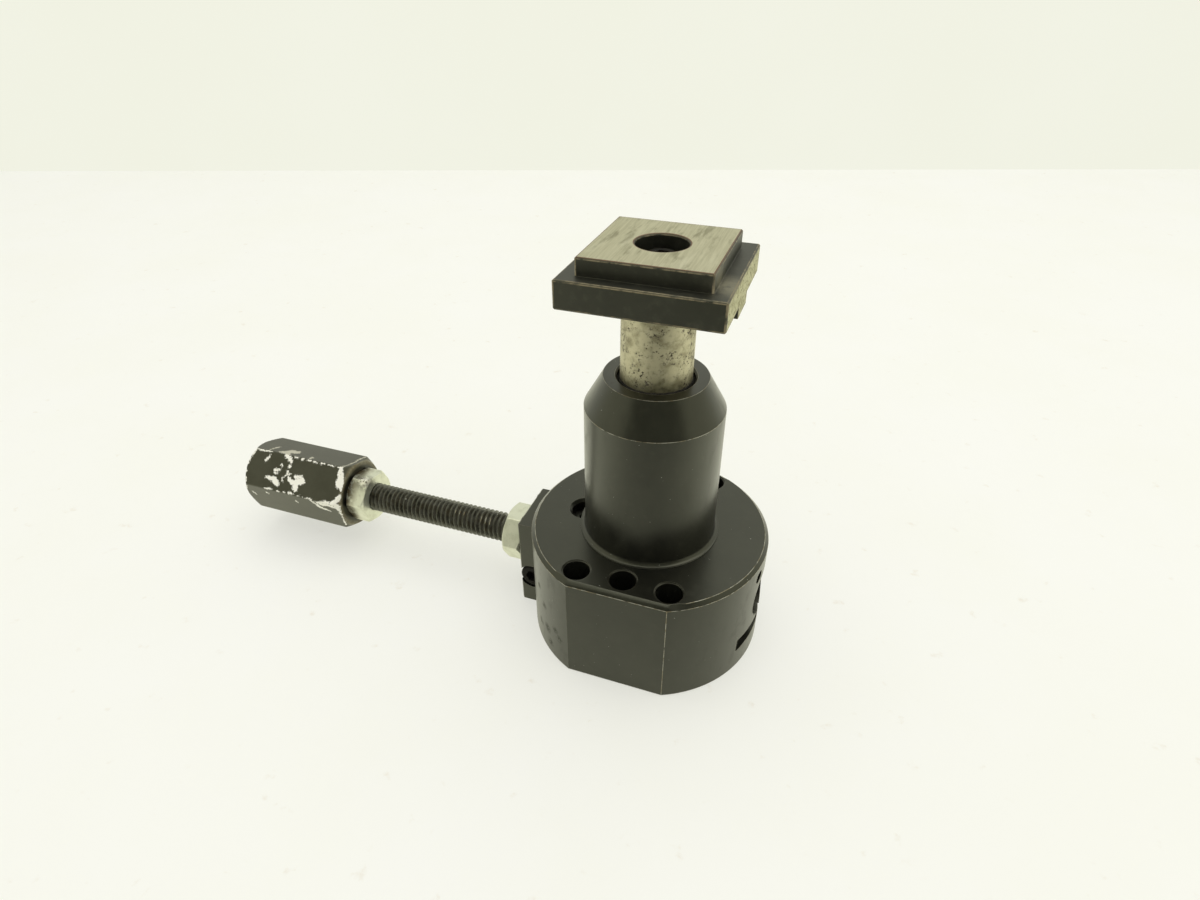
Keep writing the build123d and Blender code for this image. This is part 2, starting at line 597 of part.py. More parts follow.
def drive_shoe():
    """Shoe with a face hollowed to the plunger, a socket for the rod's tip and a keyway on top."""
    shoe = along_x(SHOE_RADIUS, -SHOE_LENGTH_END, -SHOE_HORN_END)
    socket_end = ROD_INNER_END - ROD_TIP_LENGTH - SHOE_SOCKET_GAP
    socket = along_x(ROD_TIP_RADIUS + SHOE_SOCKET_GAP, -SHOE_LENGTH_END, -socket_end)
    crown = LOCK_HEIGHT + SHOE_RADIUS
    keyway = slab((-SHOE_LENGTH_END, -KEYWAY_INNER_END), (-KEYWAY_WIDTH / 2, KEYWAY_WIDTH / 2),
                  (crown - KEYWAY_DEPTH, crown))
    return shoe - [disc(SHOE_FACE_RADIUS, 0, BASE_HEIGHT), socket, keyway]


def shoe_key_screw():
    """Dog-point screw that stands in the shoe's keyway."""
    body = disc(KEY_BODY_RADIUS, KEY_BODY_BOTTOM, KEY_BODY_TOP)
    dog = disc(KEY_DOG_RADIUS, KEY_DOG_BOTTOM, KEY_BODY_BOTTOM)
    socket_floor = (KEY_BODY_BOTTOM + KEY_BODY_TOP) / 2
    return Pos(-KEY_X, 0, 0) * (body + dog - hexagon(KEY_SOCKET_FLATS, socket_floor, KEY_BODY_TOP))


def reaction_shoe():
    """Shoe that backs the plunger on the far side."""
    shoe = along_x(SHOE_RADIUS, SHOE_HORN_END, REACTION_SHOE_END)
    return shoe - disc(SHOE_FACE_RADIUS, 0, BASE_HEIGHT)


def backing_plug():
    """Threaded plug behind the reaction shoe, with a hexagon socket in its outer face."""
    plug = along_x(CROSS_BORE_RADIUS - RUNNING_GAP, REACTION_SHOE_END, PLUG_OUTER_END)
    socket = on_rod(PLUG_OUTER_END - PLUG_SOCKET_DEPTH) * hexagon(PLUG_SOCKET_FLATS, 0, PLUG_SOCKET_DEPTH)
    return plug - socket


PIECES = (base_block, tower, tower_screws, guide_bush, wiper_seal, plunger, plunger_spring, bottom_cover,
          bottom_cover_screws, guide_pin, guide_pin_plug, rest_pad, pad_screw, lock_block, block_screws,
          pinch_screw, lock_rod, near_lock_nut, far_lock_nut, hex_handle, drive_shoe, shoe_key_screw,
          reaction_shoe, backing_plug)

os.makedirs("parts", exist_ok=True)
for piece in PIECES:
    shape = piece()
    solids = Compound(children=shape) if isinstance(shape, list) else shape
    export_step(solids, os.path.join("parts", piece.__name__ + ".step"))
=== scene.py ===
import json
from math import atan2, cos, hypot, pi, radians, sin

import bmesh
import bpy
from mathutils import Matrix, Vector


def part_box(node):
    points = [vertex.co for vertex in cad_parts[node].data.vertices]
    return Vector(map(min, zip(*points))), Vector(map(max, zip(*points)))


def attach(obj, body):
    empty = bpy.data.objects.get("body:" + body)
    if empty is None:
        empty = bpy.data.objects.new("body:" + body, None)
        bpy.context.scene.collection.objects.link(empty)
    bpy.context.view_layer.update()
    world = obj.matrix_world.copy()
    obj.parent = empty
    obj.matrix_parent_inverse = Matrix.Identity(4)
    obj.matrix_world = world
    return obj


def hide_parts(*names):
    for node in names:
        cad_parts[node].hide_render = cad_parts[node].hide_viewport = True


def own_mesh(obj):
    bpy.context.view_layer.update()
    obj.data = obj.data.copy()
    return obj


bl_info = {
    "name": "Adjustable work support",
    "version": (1, 0, 0),
    "blender": (4, 5, 0),
    "location": "View3D > Sidebar > Work support",
    "description": "Dresses the packed work support with its threads, broken edges and steel finishes",
    "category": "Object",
}

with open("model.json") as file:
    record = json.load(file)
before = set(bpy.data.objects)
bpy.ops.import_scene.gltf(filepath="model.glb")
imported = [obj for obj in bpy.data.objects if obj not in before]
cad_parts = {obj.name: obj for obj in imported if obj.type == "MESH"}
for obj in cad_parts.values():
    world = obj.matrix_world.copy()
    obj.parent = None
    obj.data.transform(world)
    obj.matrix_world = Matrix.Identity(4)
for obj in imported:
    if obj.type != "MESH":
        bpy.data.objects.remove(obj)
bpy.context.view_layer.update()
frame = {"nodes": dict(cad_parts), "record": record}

# Metres in a millimetre: the frame is in metres
MM = 0.001

ROD_LOW, ROD_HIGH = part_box("lock_rod")
ROD_RADIUS = (ROD_HIGH.z - ROD_LOW.z) / 2
LOCK_AXIS_HEIGHT = (ROD_LOW.z + ROD_HIGH.z) / 2
BASE_LOW, BASE_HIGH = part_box("base_block")
PAD_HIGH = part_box("rest_pad")[1]
HANDLE_LOW, HANDLE_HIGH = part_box("hex_handle")

# Where the photograph was taken from, by fitting the camera to the measured object
CAMERA_PLACE = (0.04350, -0.16568, 0.17799)
CAMERA_TURN = 19.617
CAMERA_TILT = 55.624
CAMERA_ROLL = -0.0995
CAMERA_LENS = 22.34

# Stage in metres: the table's far edge from the camera's foot, the wall from that edge, and the dark side of
# the room from behind the camera, a grey sheet that paints the room's shade into the metal's reflections
TABLE_EDGE_DISTANCE = 0.726
TABLE_HALF_WIDTH = 2.5
TABLE_DEPTH = 2.4
WALL_DISTANCE = 0.5
WALL_FOOT = -0.6
WALL_HALF_WIDTH = 3.0
WALL_HEIGHT = 2.2
DARK_DISTANCE = 0.03
DARK_HALF_WIDTH = 0.22
DARK_HEIGHT = 0.9

# Strength of the light from all round, and the softbox overhead, in metres and watts
FILL_LIGHT = 0.76
SOFTBOX_PLACE = (0.12, 0.12, 1.15)
SOFTBOX_AIM = (0, 0, 0.03)
SOFTBOX_SIDE = 1.3
SOFTBOX_POWER = 6.0

# Share of the table's shadows that a bright exposure lifts
SHADOW_LIFT = 0.56
# Table's brightness as the metal sees it: its mean, by how much it rises and falls, and the nearest and
# farthest place for that, in millimetres from the camera's foot
TABLE_BRIGHTNESS = 0.99
TABLE_CHANGE = 0.65
TABLE_CHANGE_NEAR = 40.0
TABLE_CHANGE_FAR = 240.0

# Single marks, each a place and a radius in millimetres: the rubbed patch of the pad's ledge, the nick in the
# far nut's upper corner with its bright middle, and dull scuffs on the base's wall, left of the flat
PAD_RUB = (18.0, -10.5, PAD_HIGH.z / MM - 4.4, 8.5)
NUT_NICK = (-98.9, -2.8, 27.75, 4.6)
NUT_NICK_MIDDLE = (-98.9, -2.8, 27.75, 3.0)
WALL_SCUFFS = (
    (-23.8, -25.7, 17.1, 2.1), (-22.6, -26.8, 9.3, 2.6), (-21.4, -27.7, 4.6, 2.2), (-19.0, -29.4, 12.2, 2.0),
    (-17.5, -30.3, 9.9, 2.3), (-25.9, -23.5, 8.0, 2.0), (-26.3, -23.1, 22.4, 1.8),
)

# Painted glints on the rod's crests, laid on as fully worn bare steel where the crests catch the light: from
# and to in millimetres, and the middle in degrees round the rod from +Y, with half the width
PAINTED_GLINT_CRESTS = ((-66.4, -61.0, 125.0), (-56.4, -51.4, 131.0))
PAINTED_GLINT_HALF_ANGLE = 9.0

# Shares of bare steel at edges
FAINT_WEAR = 0.1
TOWER_WEAR = 0.8
SMALL_PIECE_WEAR = 0.4
CREST_WEAR = 0.08
FLANK_WEAR = 0.16

# Nearer the wall than this, an edge of the base is handled, and higher above the base an edge of the tower
BASE_RIM = 1.25 * MM
TOWER_FOOT_TOP = 4.0 * MM
# How far the corners of the base's flat stand from its middle, and what is still near one
FLAT_CORNER = (BASE_HIGH.x ** 2 - BASE_LOW.y ** 2) ** 0.5
NEAR_CORNER = 0.5 * MM

# Bolt holes of the base in millimetres: how far from them their rims and bores are looked for, the width of
# their broken edges in the CAD node, and the narrower one that the photograph shows
BOLT_HOLES = ((-13.2, -26.1), (-13.2, 26.1), (13.2, -26.1), (13.2, 26.1), (0.0, -25.6), (0.0, 25.6))
HOLE_RIM_REACH = 5.0
HOLE_BORE_REACH = 4.0
CAD_HOLE_EDGE = 0.75
HOLE_EDGE = 0.32

# Width of the bands along a screw's edges in millimetres, and of other bands as shares of the housing's
SCREW_EDGE = 0.08
SMALL_PIECE_EDGE = 0.6
PAD_EDGE = 1.8
# Angles in degrees over which edges are sharp
HOUSING_ANGLE = 20
SCREW_ANGLE = 40
HEXAGON_ANGLE = 24
THREAD_ANGLE = 50

# How square to an axis and how far outside a flat outer face is, and how far down the pad's rust line reaches
SQUARE_SHARE = 0.99
OUTSIDE_DEPTH = 0.1 * MM
RUST_LINE_DEPTH = 0.2 * MM

# Rounded corners of the nuts, and grids of nuts and handle: their cells, the cells along a turned cone, and
# where the even cells start, as a share of the cone's depth
NUT_EDGE = 0.3 * MM
NUT_CELL = 0.6 * MM
HANDLE_CELL = 0.32 * MM
CONE_CELLS = 6
PAST_CONE = 1.2

# Handle's finish in millimetres: where the top flat starts, and how faded its primer is, how far a chip is
# looked for, and the widths of the bare end, of the grime and painted shade round the nut and of its soft rim
TOP_FLAT_START = 6.7
FADED_SHARE = 0.6
CHIP_REACH = 6.0
BARE_BAND = 0.8
GRIME_AND_SHADE_BAND = 1.3
GRIME_AND_SHADE_RIM = 0.6

# Rod's plain tip, one tooth of its thread from root to root (share of the pitch, share of the depth), and how
# far below the crests a face is still on one
TIP_RADIUS = 3.2 * MM
TIP_LENGTH = 5.0 * MM
TIP_OVERLAP = 1.0 * MM
TOOTH = ((0.0, 0), (0.07, 0), (0.42, 1), (0.58, 1), (0.93, 0), (1.0, 0))
CREST_DEPTH = 0.15 * MM

# Points this near to each other are one, and this near to a plane are on it
SAME_PLACE = 0.001 * MM
ON_PLANE = 0.01 * MM
# Turns what stands round Z to stand round X
ALONG_ROD = Matrix.Rotation(radians(90), 4, "Y")


def linear(code):
    """Linear colour of an sRGB hex value."""
    channels = [int(code[i:i + 2], 16) / 255 for i in (1, 3, 5)]
    curve = [c / 12.92 if c <= 0.04045 else ((c + 0.055) / 1.055) ** 2.4 for c in channels]
    return (*curve, 1.0)


def add_node(tree, kind, inputs=None, output=0, **settings):
    """Adds a shader node with its settings, fills its inputs with values or links, and gives an output."""
    node = tree.nodes.new("ShaderNode" + kind)
    for name, value in settings.items():
        setattr(node, name, value)
    for name, value in (inputs or {}).items():
        if isinstance(value, bpy.types.NodeSocket):
            tree.links.new(value, node.inputs[name])
        else:
            node.inputs[name].default_value = value
    return node.outputs[output] if node.outputs else None


def new_material(name):
    """Empty node material, and its tree."""
    material = bpy.data.materials.new(name)
    material.use_nodes = True
    material.node_tree.nodes.clear()
    return material, material.node_tree


def millimetres(tree, stretch=(1, 1, 1)):
    """Object coordinates in millimetres, so that a pattern's scale is one over its real size. A pattern that
    is to run in streaks is squeezed less along them."""
    place = add_node(tree, "TexCoord", output="Object")
    scale = [share / MM for share in stretch]
    return add_node(tree, "VectorMath", {0: place, 1: scale}, operation="MULTIPLY")


def product(tree, first, second):
    """One share of another."""
    return add_node(tree, "Math", {0: first, 1: second}, operation="MULTIPLY")


def between(tree, share, low, high):
    """Value that goes from low to high with a share."""
    return add_node(tree, "MapRange", {"Value": share, "To Min": low, "To Max": high})


def patches(tree, where, size, low, high, peak=1.0, detail=5.0):
    """Soft-edged patches about a given size in millimetres, where a noise stands above a level."""
    noise = add_node(tree, "TexNoise", {"Vector": where, "Scale": 1 / size, "Detail": detail,
                                        "Roughness": 0.6})
    return add_node(tree, "MapRange", {"Value": noise, "From Min": low, "From Max": high, "To Max": peak},
                    interpolation_type="SMOOTHSTEP")


def layered(tree, colour, *layers):
    """Colour with others laid over it in turn, each by its share."""
    for share, over in layers:
        colour = add_node(tree, "MixRGB", {"Fac": share, "Color1": colour, "Color2": over})
    return colour


def tool_rings(tree, where, spacing, depth):
    """Normal that shows the rings a lathe tool leaves round the plunger's axis, on faces and on walls."""
    flat = add_node(tree, "VectorMath", {0: where, 1: (1, 1, 0)}, operation="MULTIPLY")
    reach = add_node(tree, "VectorMath", {0: flat}, output="Value", operation="LENGTH")
    height = add_node(tree, "SeparateXYZ", {0: where}, output="Z")
    along = add_node(tree, "Math", {0: reach, 1: height}, operation="ADD")
    rings = add_node(tree, "TexNoise", {"W": along, "Scale": 1 / spacing, "Detail": 4.0},
                     noise_dimensions="1D")
    return add_node(tree, "Bump", {"Height": rings, "Strength": 0.3, "Distance": depth * MM})


def scuffed(tree, where, spot, *pattern):
    """Patches round a spot, given as place and radius in millimetres, that thin out towards its rim."""
    *place, radius = spot
    reach = add_node(tree, "VectorMath", {0: where, 1: place}, output="Value", operation="DISTANCE")
    inside = add_node(tree, "MapRange", {"Value": reach, "From Min": radius, "From Max": 0.0},
                      interpolation_type="SMOOTHSTEP")
    return product(tree, inside, patches(tree, where, *pattern))


def worn_share(tree, where, low, high):
    """Share of bare metal: the marked edges, broken up by a noise."""
    edges = add_node(tree, "Attribute", output="Fac", attribute_name="edge_wear")
    return product(tree, edges, patches(tree, where, 2.6, low, high))


def finished(material, kind, inputs):
    """Gives a material its surface, a shader of one kind with these inputs, and gives the material back."""
    tree = material.node_tree
    add_node(tree, "OutputMaterial", {"Surface": add_node(tree, kind, inputs)})
    return material


def black_oxide(colours):
    """Alloy steel, machined and hot blackened, then oiled: near black under an olive film that shines
    softly and more at a slant, lathe rings, dull smears from handling, and bare edges with brown in them."""
    material, tree = new_material("machined steel, hot black oxide, oiled")
    where = millimetres(tree)
    smears = patches(tree, millimetres(tree, (1, 1, 0.45)), 3.0, 0.5, 0.7, 0.25)
    for spot in WALL_SCUFFS:
        scuff = scuffed(tree, where, spot, 0.9, 0.4, 0.5)
        smears = add_node(tree, "Math", {0: smears, 1: scuff}, operation="MAXIMUM")
    edge = layered(tree, colours.bare_steel, (patches(tree, where, 1.8, 0.42, 0.6), colours.edge_brown))
    colour = layered(
        tree, colours.oxide,
        (patches(tree, where, 12, 0.35, 0.7), colours.oxide_film),
        (patches(tree, where, 3.2, 0.55, 0.75, 0.2), colours.oxide_worn),
        (worn_share(tree, where, 0.30, 0.52), edge),
        (patches(tree, where, 0.6, 0.79, 0.84, 0.6, 1.0), colours.primer),
    )
    return finished(material, "BsdfPrincipled", {
        "Base Color": colour, "IOR": 1.65, "Specular Tint": colours.oxide_sheen,
        "Roughness": between(tree, smears, 0.30, 0.62),
        "Normal": tool_rings(tree, where, 0.45, 0.002),
    })


def ground_steel(colours):
    """Hardened steel, centreless ground: grey satin with fine rings round it, freckled by dark pits in
    clusters, and browned in soft patches where the wiper leaves its oil."""
    material, tree = new_material("hardened steel, centreless ground")
    where = millimetres(tree)
    pitted = product(tree, patches(tree, where, 5.0, 0.44, 0.6), patches(tree, where, 0.75, 0.53, 0.62))
    colour = layered(
        tree, colours.ground_steel,
        (patches(tree, where, 4.0, 0.42, 0.7, 0.7), colours.stained_steel),
        (patches(tree, where, 1.6, 0.5, 0.72, 0.35), colours.rust),
        (pitted, colours.rust),
    )
    return finished(material, "BsdfPrincipled", {
        "Base Color": colour,
        "Metallic": between(tree, pitted, 1.0, 0.3),
        "Roughness": between(tree, pitted, 0.58, 0.7),
        "Normal": tool_rings(tree, where, 0.3, 0.006),
    })


def pad_steel(colours):
    """Tool steel, blackened, with its rest face and two sides surface ground afterwards: the wheel's fine
    lines and a few dark streaks over grey steel, coarse freckles on the sides, black left on the ledge with
    one rubbed patch, and brown along the edges between."""
    material, tree = new_material("tool steel, black oxide, surface ground")
    where = millimetres(tree)
    black = layered(
        tree, colours.oxide,
        (patches(tree, where, 9, 0.35, 0.7), colours.oxide_film),
        (patches(tree, where, 2.4, 0.5, 0.75, 0.5), colours.oxide_worn),
    )
    rub = scuffed(tree, where, PAD_RUB, 3.5, 0.25, 0.6, 0.7)
    black = layered(tree, black, (rub, colours.rubbed),
                    (worn_share(tree, where, 0.35, 0.6), colours.edge_brown))
    top = layered(
        tree, colours.pad_bright,
        (patches(tree, millimetres(tree, (4.0, 0.16, 4.0)), 2.0, 0.3, 0.75), colours.pad_dull),
        (patches(tree, millimetres(tree, (1.0, 0.2, 1.0)), 2.2, 0.5, 0.68, 0.6), colours.pad_streak),
        (patches(tree, millimetres(tree, (1.0, 0.3, 1.0)), 5.0, 0.5, 0.8, 0.6), colours.pad_clean),
    )
    sides = layered(tree, colours.pad_dull,
                    (patches(tree, where, 1.6, 0.42, 0.62, 0.9), colours.stained_steel),
                    (patches(tree, where, 0.8, 0.54, 0.62, 0.85), colours.rust))
    ground, side, rust_line = (add_node(tree, "Attribute", output="Fac", attribute_name=name)
                               for name in ("ground_face", "ground_side", "rust_line"))
    return finished(material, "BsdfPrincipled", {
        "Base Color": layered(tree, black, (ground, layered(tree, top, (side, sides))),
                              (rust_line, colours.rust_line)),
        "Metallic": ground, "IOR": 1.65, "Specular Tint": colours.oxide_sheen,
        "Roughness": between(tree, ground, 0.5, 0.48),
    })


def zinc_plate(colours):
    """Steel, zinc plated and clear passivated: pale grey with a green cast, half matt and duller in patches,
    with dark freckles, brown grease next to the handle, and one nick that is bright in its middle."""
    material, tree = new_material("steel, zinc plated, clear passivated")
    where = millimetres(tree)
    dull = patches(tree, where, 3.5, 0.4, 0.8, 0.6)
    by_handle = add_node(tree, "MapRange", {
        "Value": add_node(tree, "SeparateXYZ", {0: where}, output="X"),
        "From Min": HANDLE_HIGH.x / MM + 4.5, "From Max": HANDLE_HIGH.x / MM + 0.5,
    })
    grease = product(tree, by_handle, patches(tree, where, 2.6, 0.37, 0.52))
    colour = layered(
        tree, colours.zinc, (dull, colours.zinc_dull),
        (patches(tree, where, 0.7, 0.62, 0.74, 0.5), colours.stained_steel),
        (grease, colours.edge_brown),
        (scuffed(tree, where, NUT_NICK, 1.4, 0.38, 0.48), colours.rust),
        (scuffed(tree, where, NUT_NICK_MIDDLE, 0.9, 0.42, 0.5), colours.primer),
    )
    return finished(material, "BsdfPrincipled", {
        "Base Color": colour, "Metallic": 0.75,
        "Roughness": between(tree, dull, 0.34, 0.5),
    })


def chipped_paint(colours):
    """Hexagon steel, brush painted black: a satin skin with orange peel, chipped to pale primer where
    spanners and knocks have lifted it, bare along the turned end, and dark round the nut with grime and
    painted shade where the nut sits on the end face."""
    material, tree = new_material("hexagon steel, black enamel, chipped")
    where = millimetres(tree)
    field, bare, grime_and_shade, faded = (add_node(tree, "Attribute", output="Fac", attribute_name=name)
                                 for name in ("paint_chip", "bare_steel", "grime_and_shade", "faded_primer"))
    ragged = add_node(tree, "TexNoise", {"Vector": where, "Scale": 1 / 0.6, "Detail": 5.0, "Roughness": 0.75})
    ragged = add_node(tree, "Math", {0: ragged, 1: 3.2, 2: -1.64}, operation="MULTIPLY_ADD")
    reach = add_node(tree, "Math", {0: field, 1: ragged}, operation="ADD")
    chipped = add_node(tree, "MapRange", {"Value": reach, "From Min": 0.06, "From Max": -0.06},
                       interpolation_type="SMOOTHSTEP")
    colour = layered(
        tree, colours.paint,
        (patches(tree, where, 8, 0.35, 0.7), colours.paint_rubbed),
        (bare, layered(tree, colours.rubbed, (patches(tree, where, 1.2, 0.4, 0.6), colours.edge_brown))),
        (chipped, layered(tree, colours.primer, (faded, colours.rubbed))),
        # Grime and painted shade: the end face is laid over with black round the nut, where the nut sits on
        # it
        (grime_and_shade, colours.oxide),
    )
    peel = add_node(tree, "TexNoise", {"Vector": where, "Scale": 1 / 1.4, "Detail": 3.0})
    return finished(material, "BsdfPrincipled", {
        "Base Color": colour, "IOR": 1.46, "Specular Tint": colours.enamel_sheen,
        "Roughness": between(tree, chipped, 0.33, 0.6),
        "Normal": add_node(tree, "Bump", {"Height": peel, "Strength": 0.15, "Distance": 0.04 * MM}),
    })


def plain_finish(name, base, shade, rough, metallic, size, shine):
    """Finish of a small piece: its colour drifts between two over blotches, and its roughness with it."""
    material, tree = new_material(name)
    drift = patches(tree, millimetres(tree), size, 0.35, 0.65)
    return finished(material, "BsdfPrincipled", {
        "Base Color": layered(tree, linear(base), (drift, linear(shade))),
        "Metallic": metallic, "Specular IOR Level": shine,
        "Roughness": between(tree, drift, rough, rough + 0.15),
    })


# Small pieces: material, two colours, roughness, metallic, size of the blotches in millimetres, and shine
PLAIN_FINISHES = {
    # Hard-drawn wire: blue grey and slick
    "spring_steel": ("spring wire, hard drawn", "#6f726f", "#55534c", 0.3, 1.0, 3.0, 0.5),
    # Bearing bronze, bored: warm brown gold, dulled by oil
    "bronze": ("bearing bronze, bored", "#a97f4a", "#7d5a33", 0.35, 1.0, 4.0, 0.5),
    # Nitrile rubber, moulded: matt black that picks up grey dust
    "black_rubber": ("nitrile rubber, moulded", "#33322c", "#45433b", 0.5, 0.0, 2.0, 0.5),
    # Cap screws, forged, blackened and left greasy: darker and duller than the machined pieces
    "cap_screw": ("cap screw, black oxide, greasy", "#12110e", "#221f19", 0.6, 0.0, 1.5, 0.15),
}
DETAILED_FINISHES = {
    "black_oxide_steel": black_oxide,
    "ground_steel": ground_steel,
    "pad_steel": pad_steel,
    "zinc_plated_steel": zinc_plate,
    "painted_steel": chipped_paint,
}
FINISHES = {}


def finish_of(name):
    """The material of a record's slot or of the cap screws, made when it is first asked for."""
    if name not in FINISHES:
        if name in PLAIN_FINISHES:
            FINISHES[name] = plain_finish(*PLAIN_FINISHES[name])
        else:
            FINISHES[name] = DETAILED_FINISHES[name](bpy.context.scene.work_support_colours)
    return FINISHES[name]


NODE_SLOTS = {
    "plunger": "ground_steel",
    "guide_pin": "ground_steel",
    "rest_pad": "pad_steel",
    "near_lock_nut": "zinc_plated_steel",
    "far_lock_nut": "zinc_plated_steel",
    "hex_handle": "painted_steel",
    "plunger_spring": "spring_steel",
    "guide_bush": "bronze",
    "wiper_seal": "black_rubber",
}


def body_of_node(name):
    """Body that a CAD node rides on."""
    return next(body for body, nodes in frame["record"]["behaviour"]["bodies"].items() if name in nodes)


def slot_of_node(name):
    """Finish of a CAD node: black oxide, unless the list says otherwise."""
    return NODE_SLOTS.get(name, "black_oxide_steel")


def new_object(name, data):
    """Object in the scene that shows a mesh, lamp or camera."""
    piece = bpy.data.objects.new(name, data)
    bpy.context.scene.collection.objects.link(piece)
    return piece


def settle(bm, name, node_name, sharp_angle=180):
    """Makes the finished mesh an object that stands for its CAD node, smooth but for edges over an angle."""
    mesh = bpy.data.meshes.new(name)
    bm.to_mesh(mesh)
    bm.free()
    for polygon in mesh.polygons:
        polygon.use_smooth = True
    mesh.set_sharp_from_angle(angle=radians(sharp_angle))
    piece = new_object(name, mesh)
    weighted = piece.modifiers.new("even shading", "WEIGHTED_NORMAL")
    weighted.keep_sharp = True
    slot_name = slot_of_node(node_name)
    piece.data.materials.append(finish_of(slot_name))
    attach(piece, body_of_node(node_name))
    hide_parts(node_name)
    return piece


def merged_copy(node_name):
    """Mesh of a CAD node with its doubles merged."""
    bm = bmesh.new()
    bm.from_mesh(frame["nodes"][node_name].data)
    bmesh.ops.remove_doubles(bm, verts=bm.verts, dist=SAME_PLACE / 2)
    return bm


def regions_between(bm, sharp):
    """Groups of faces that meet across edges which aren't sharp."""
    left = set(bm.faces)
    regions = []
    while left:
        region = [left.pop()]
        for face in region:
            for edge in face.edges:
                if edge not in sharp:
                    found = [other for other in edge.link_faces if other in left]
                    left.difference_update(found)
                    region.extend(found)
        regions.append(region)
    return regions


def break_edges(bm, width, least_angle=25, wear_at=lambda place: 1.0):
    """Runs a narrow band along both sides of each sharp edge, for smooth shading to round it off, and marks
    the bands of outward edges as worn. A region under three bands wide, such as a chamfer, is worn whole."""
    sharp = {edge for edge in bm.edges
             if len(edge.link_faces) == 2 and edge.calc_face_angle() > radians(least_angle)}
    wear = bm.faces.layers.float.new("edge_wear")
    bands = []
    for region in regions_between(bm, sharp):
        rim = {edge for face in region for edge in face.edges if edge in sharp}
        if not rim:
            continue
        mean_width = 2 * sum(face.calc_area() for face in region) / sum(edge.calc_length() for edge in rim)
        if mean_width < 3 * width * MM:
            bands.extend(region)
            continue
        made = bmesh.ops.inset_region(bm, faces=region, thickness=width * MM, depth=0.0, use_boundary=True,
                                      use_even_offset=True, use_interpolate=True)
        bands.extend(made["faces"])
    for face in bands:
        if any(edge in sharp and edge.is_convex for edge in face.edges):
            face[wear] = wear_at(face.calc_center_median())


def narrow_hole_edges(bm):
    """Draws the broken edges of the bolt holes in to the width that the photograph shows."""
    spare = (CAD_HOLE_EDGE - HOLE_EDGE) * MM
    for vertex in bm.verts:
        drop = BASE_HIGH.z - vertex.co.z
        for x, y in BOLT_HOLES:
            out = Vector((vertex.co.x - x * MM, vertex.co.y - y * MM, 0))
            if out.length < HOLE_RIM_REACH * MM and drop < ON_PLANE:
                vertex.co -= out.normalized() * spare
            elif out.length < HOLE_BORE_REACH * MM and abs(drop - CAD_HOLE_EDGE * MM) < ON_PLANE:
                vertex.co.z += spare


def dress(node_name, width, least_angle=25, wear_at=lambda place: 1.0, before=lambda bm: None):
    """A CAD node with broken edges and its finish."""
    bm = merged_copy(node_name)
    before(bm)
    break_edges(bm, width, least_angle, wear_at)
    return settle(bm, node_name + "_dressed", node_name)


def base_wear(place):
    """Wear of the base's edges: full along its rim and wall, faint at the bolt holes and at the flat's
    left corner."""
    by_wall = hypot(place.x, place.y) > BASE_HIGH.x - BASE_RIM or place.y < BASE_LOW.y + BASE_RIM
    left_corner = abs(place.x + FLAT_CORNER) < NEAR_CORNER and place.z < BASE_HIGH.z - BASE_RIM
    return 1.0 if by_wall and not left_corner else FAINT_WEAR


def tower_wear(place):
    """Wear of the tower's edges: none by the base, where nothing touches them."""
    return TOWER_WEAR if place.z > BASE_HIGH.z + TOWER_FOOT_TOP else 0.0


def around(place):
    """Distance from the lock screw's axis, and the angle round it from +Y."""
    return hypot(place.y, place.z - LOCK_AXIS_HEIGHT), atan2(place.z - LOCK_AXIS_HEIGHT, place.y)


def pull_in(vertex, radius):
    """Moves a vertex in towards the lock screw's axis where it stands outside a radius."""
    reach, angle = around(vertex.co)
    if reach > radius:
        vertex.co.y = radius * cos(angle)
        vertex.co.z = LOCK_AXIS_HEIGHT + radius * sin(angle)


def cut_across(bm, place, outward=1, clear=False):
    """Cuts a mesh across the rod, may clear it on the outward side, and gives the edges of the cut."""
    cut = bmesh.ops.bisect_plane(bm, geom=bm.verts[:] + bm.edges[:] + bm.faces[:], plane_co=(place, 0, 0),
                                 plane_no=(outward, 0, 0), clear_outer=clear)
    return [item for item in cut["geom_cut"] if isinstance(item, bmesh.types.BMEdge)]


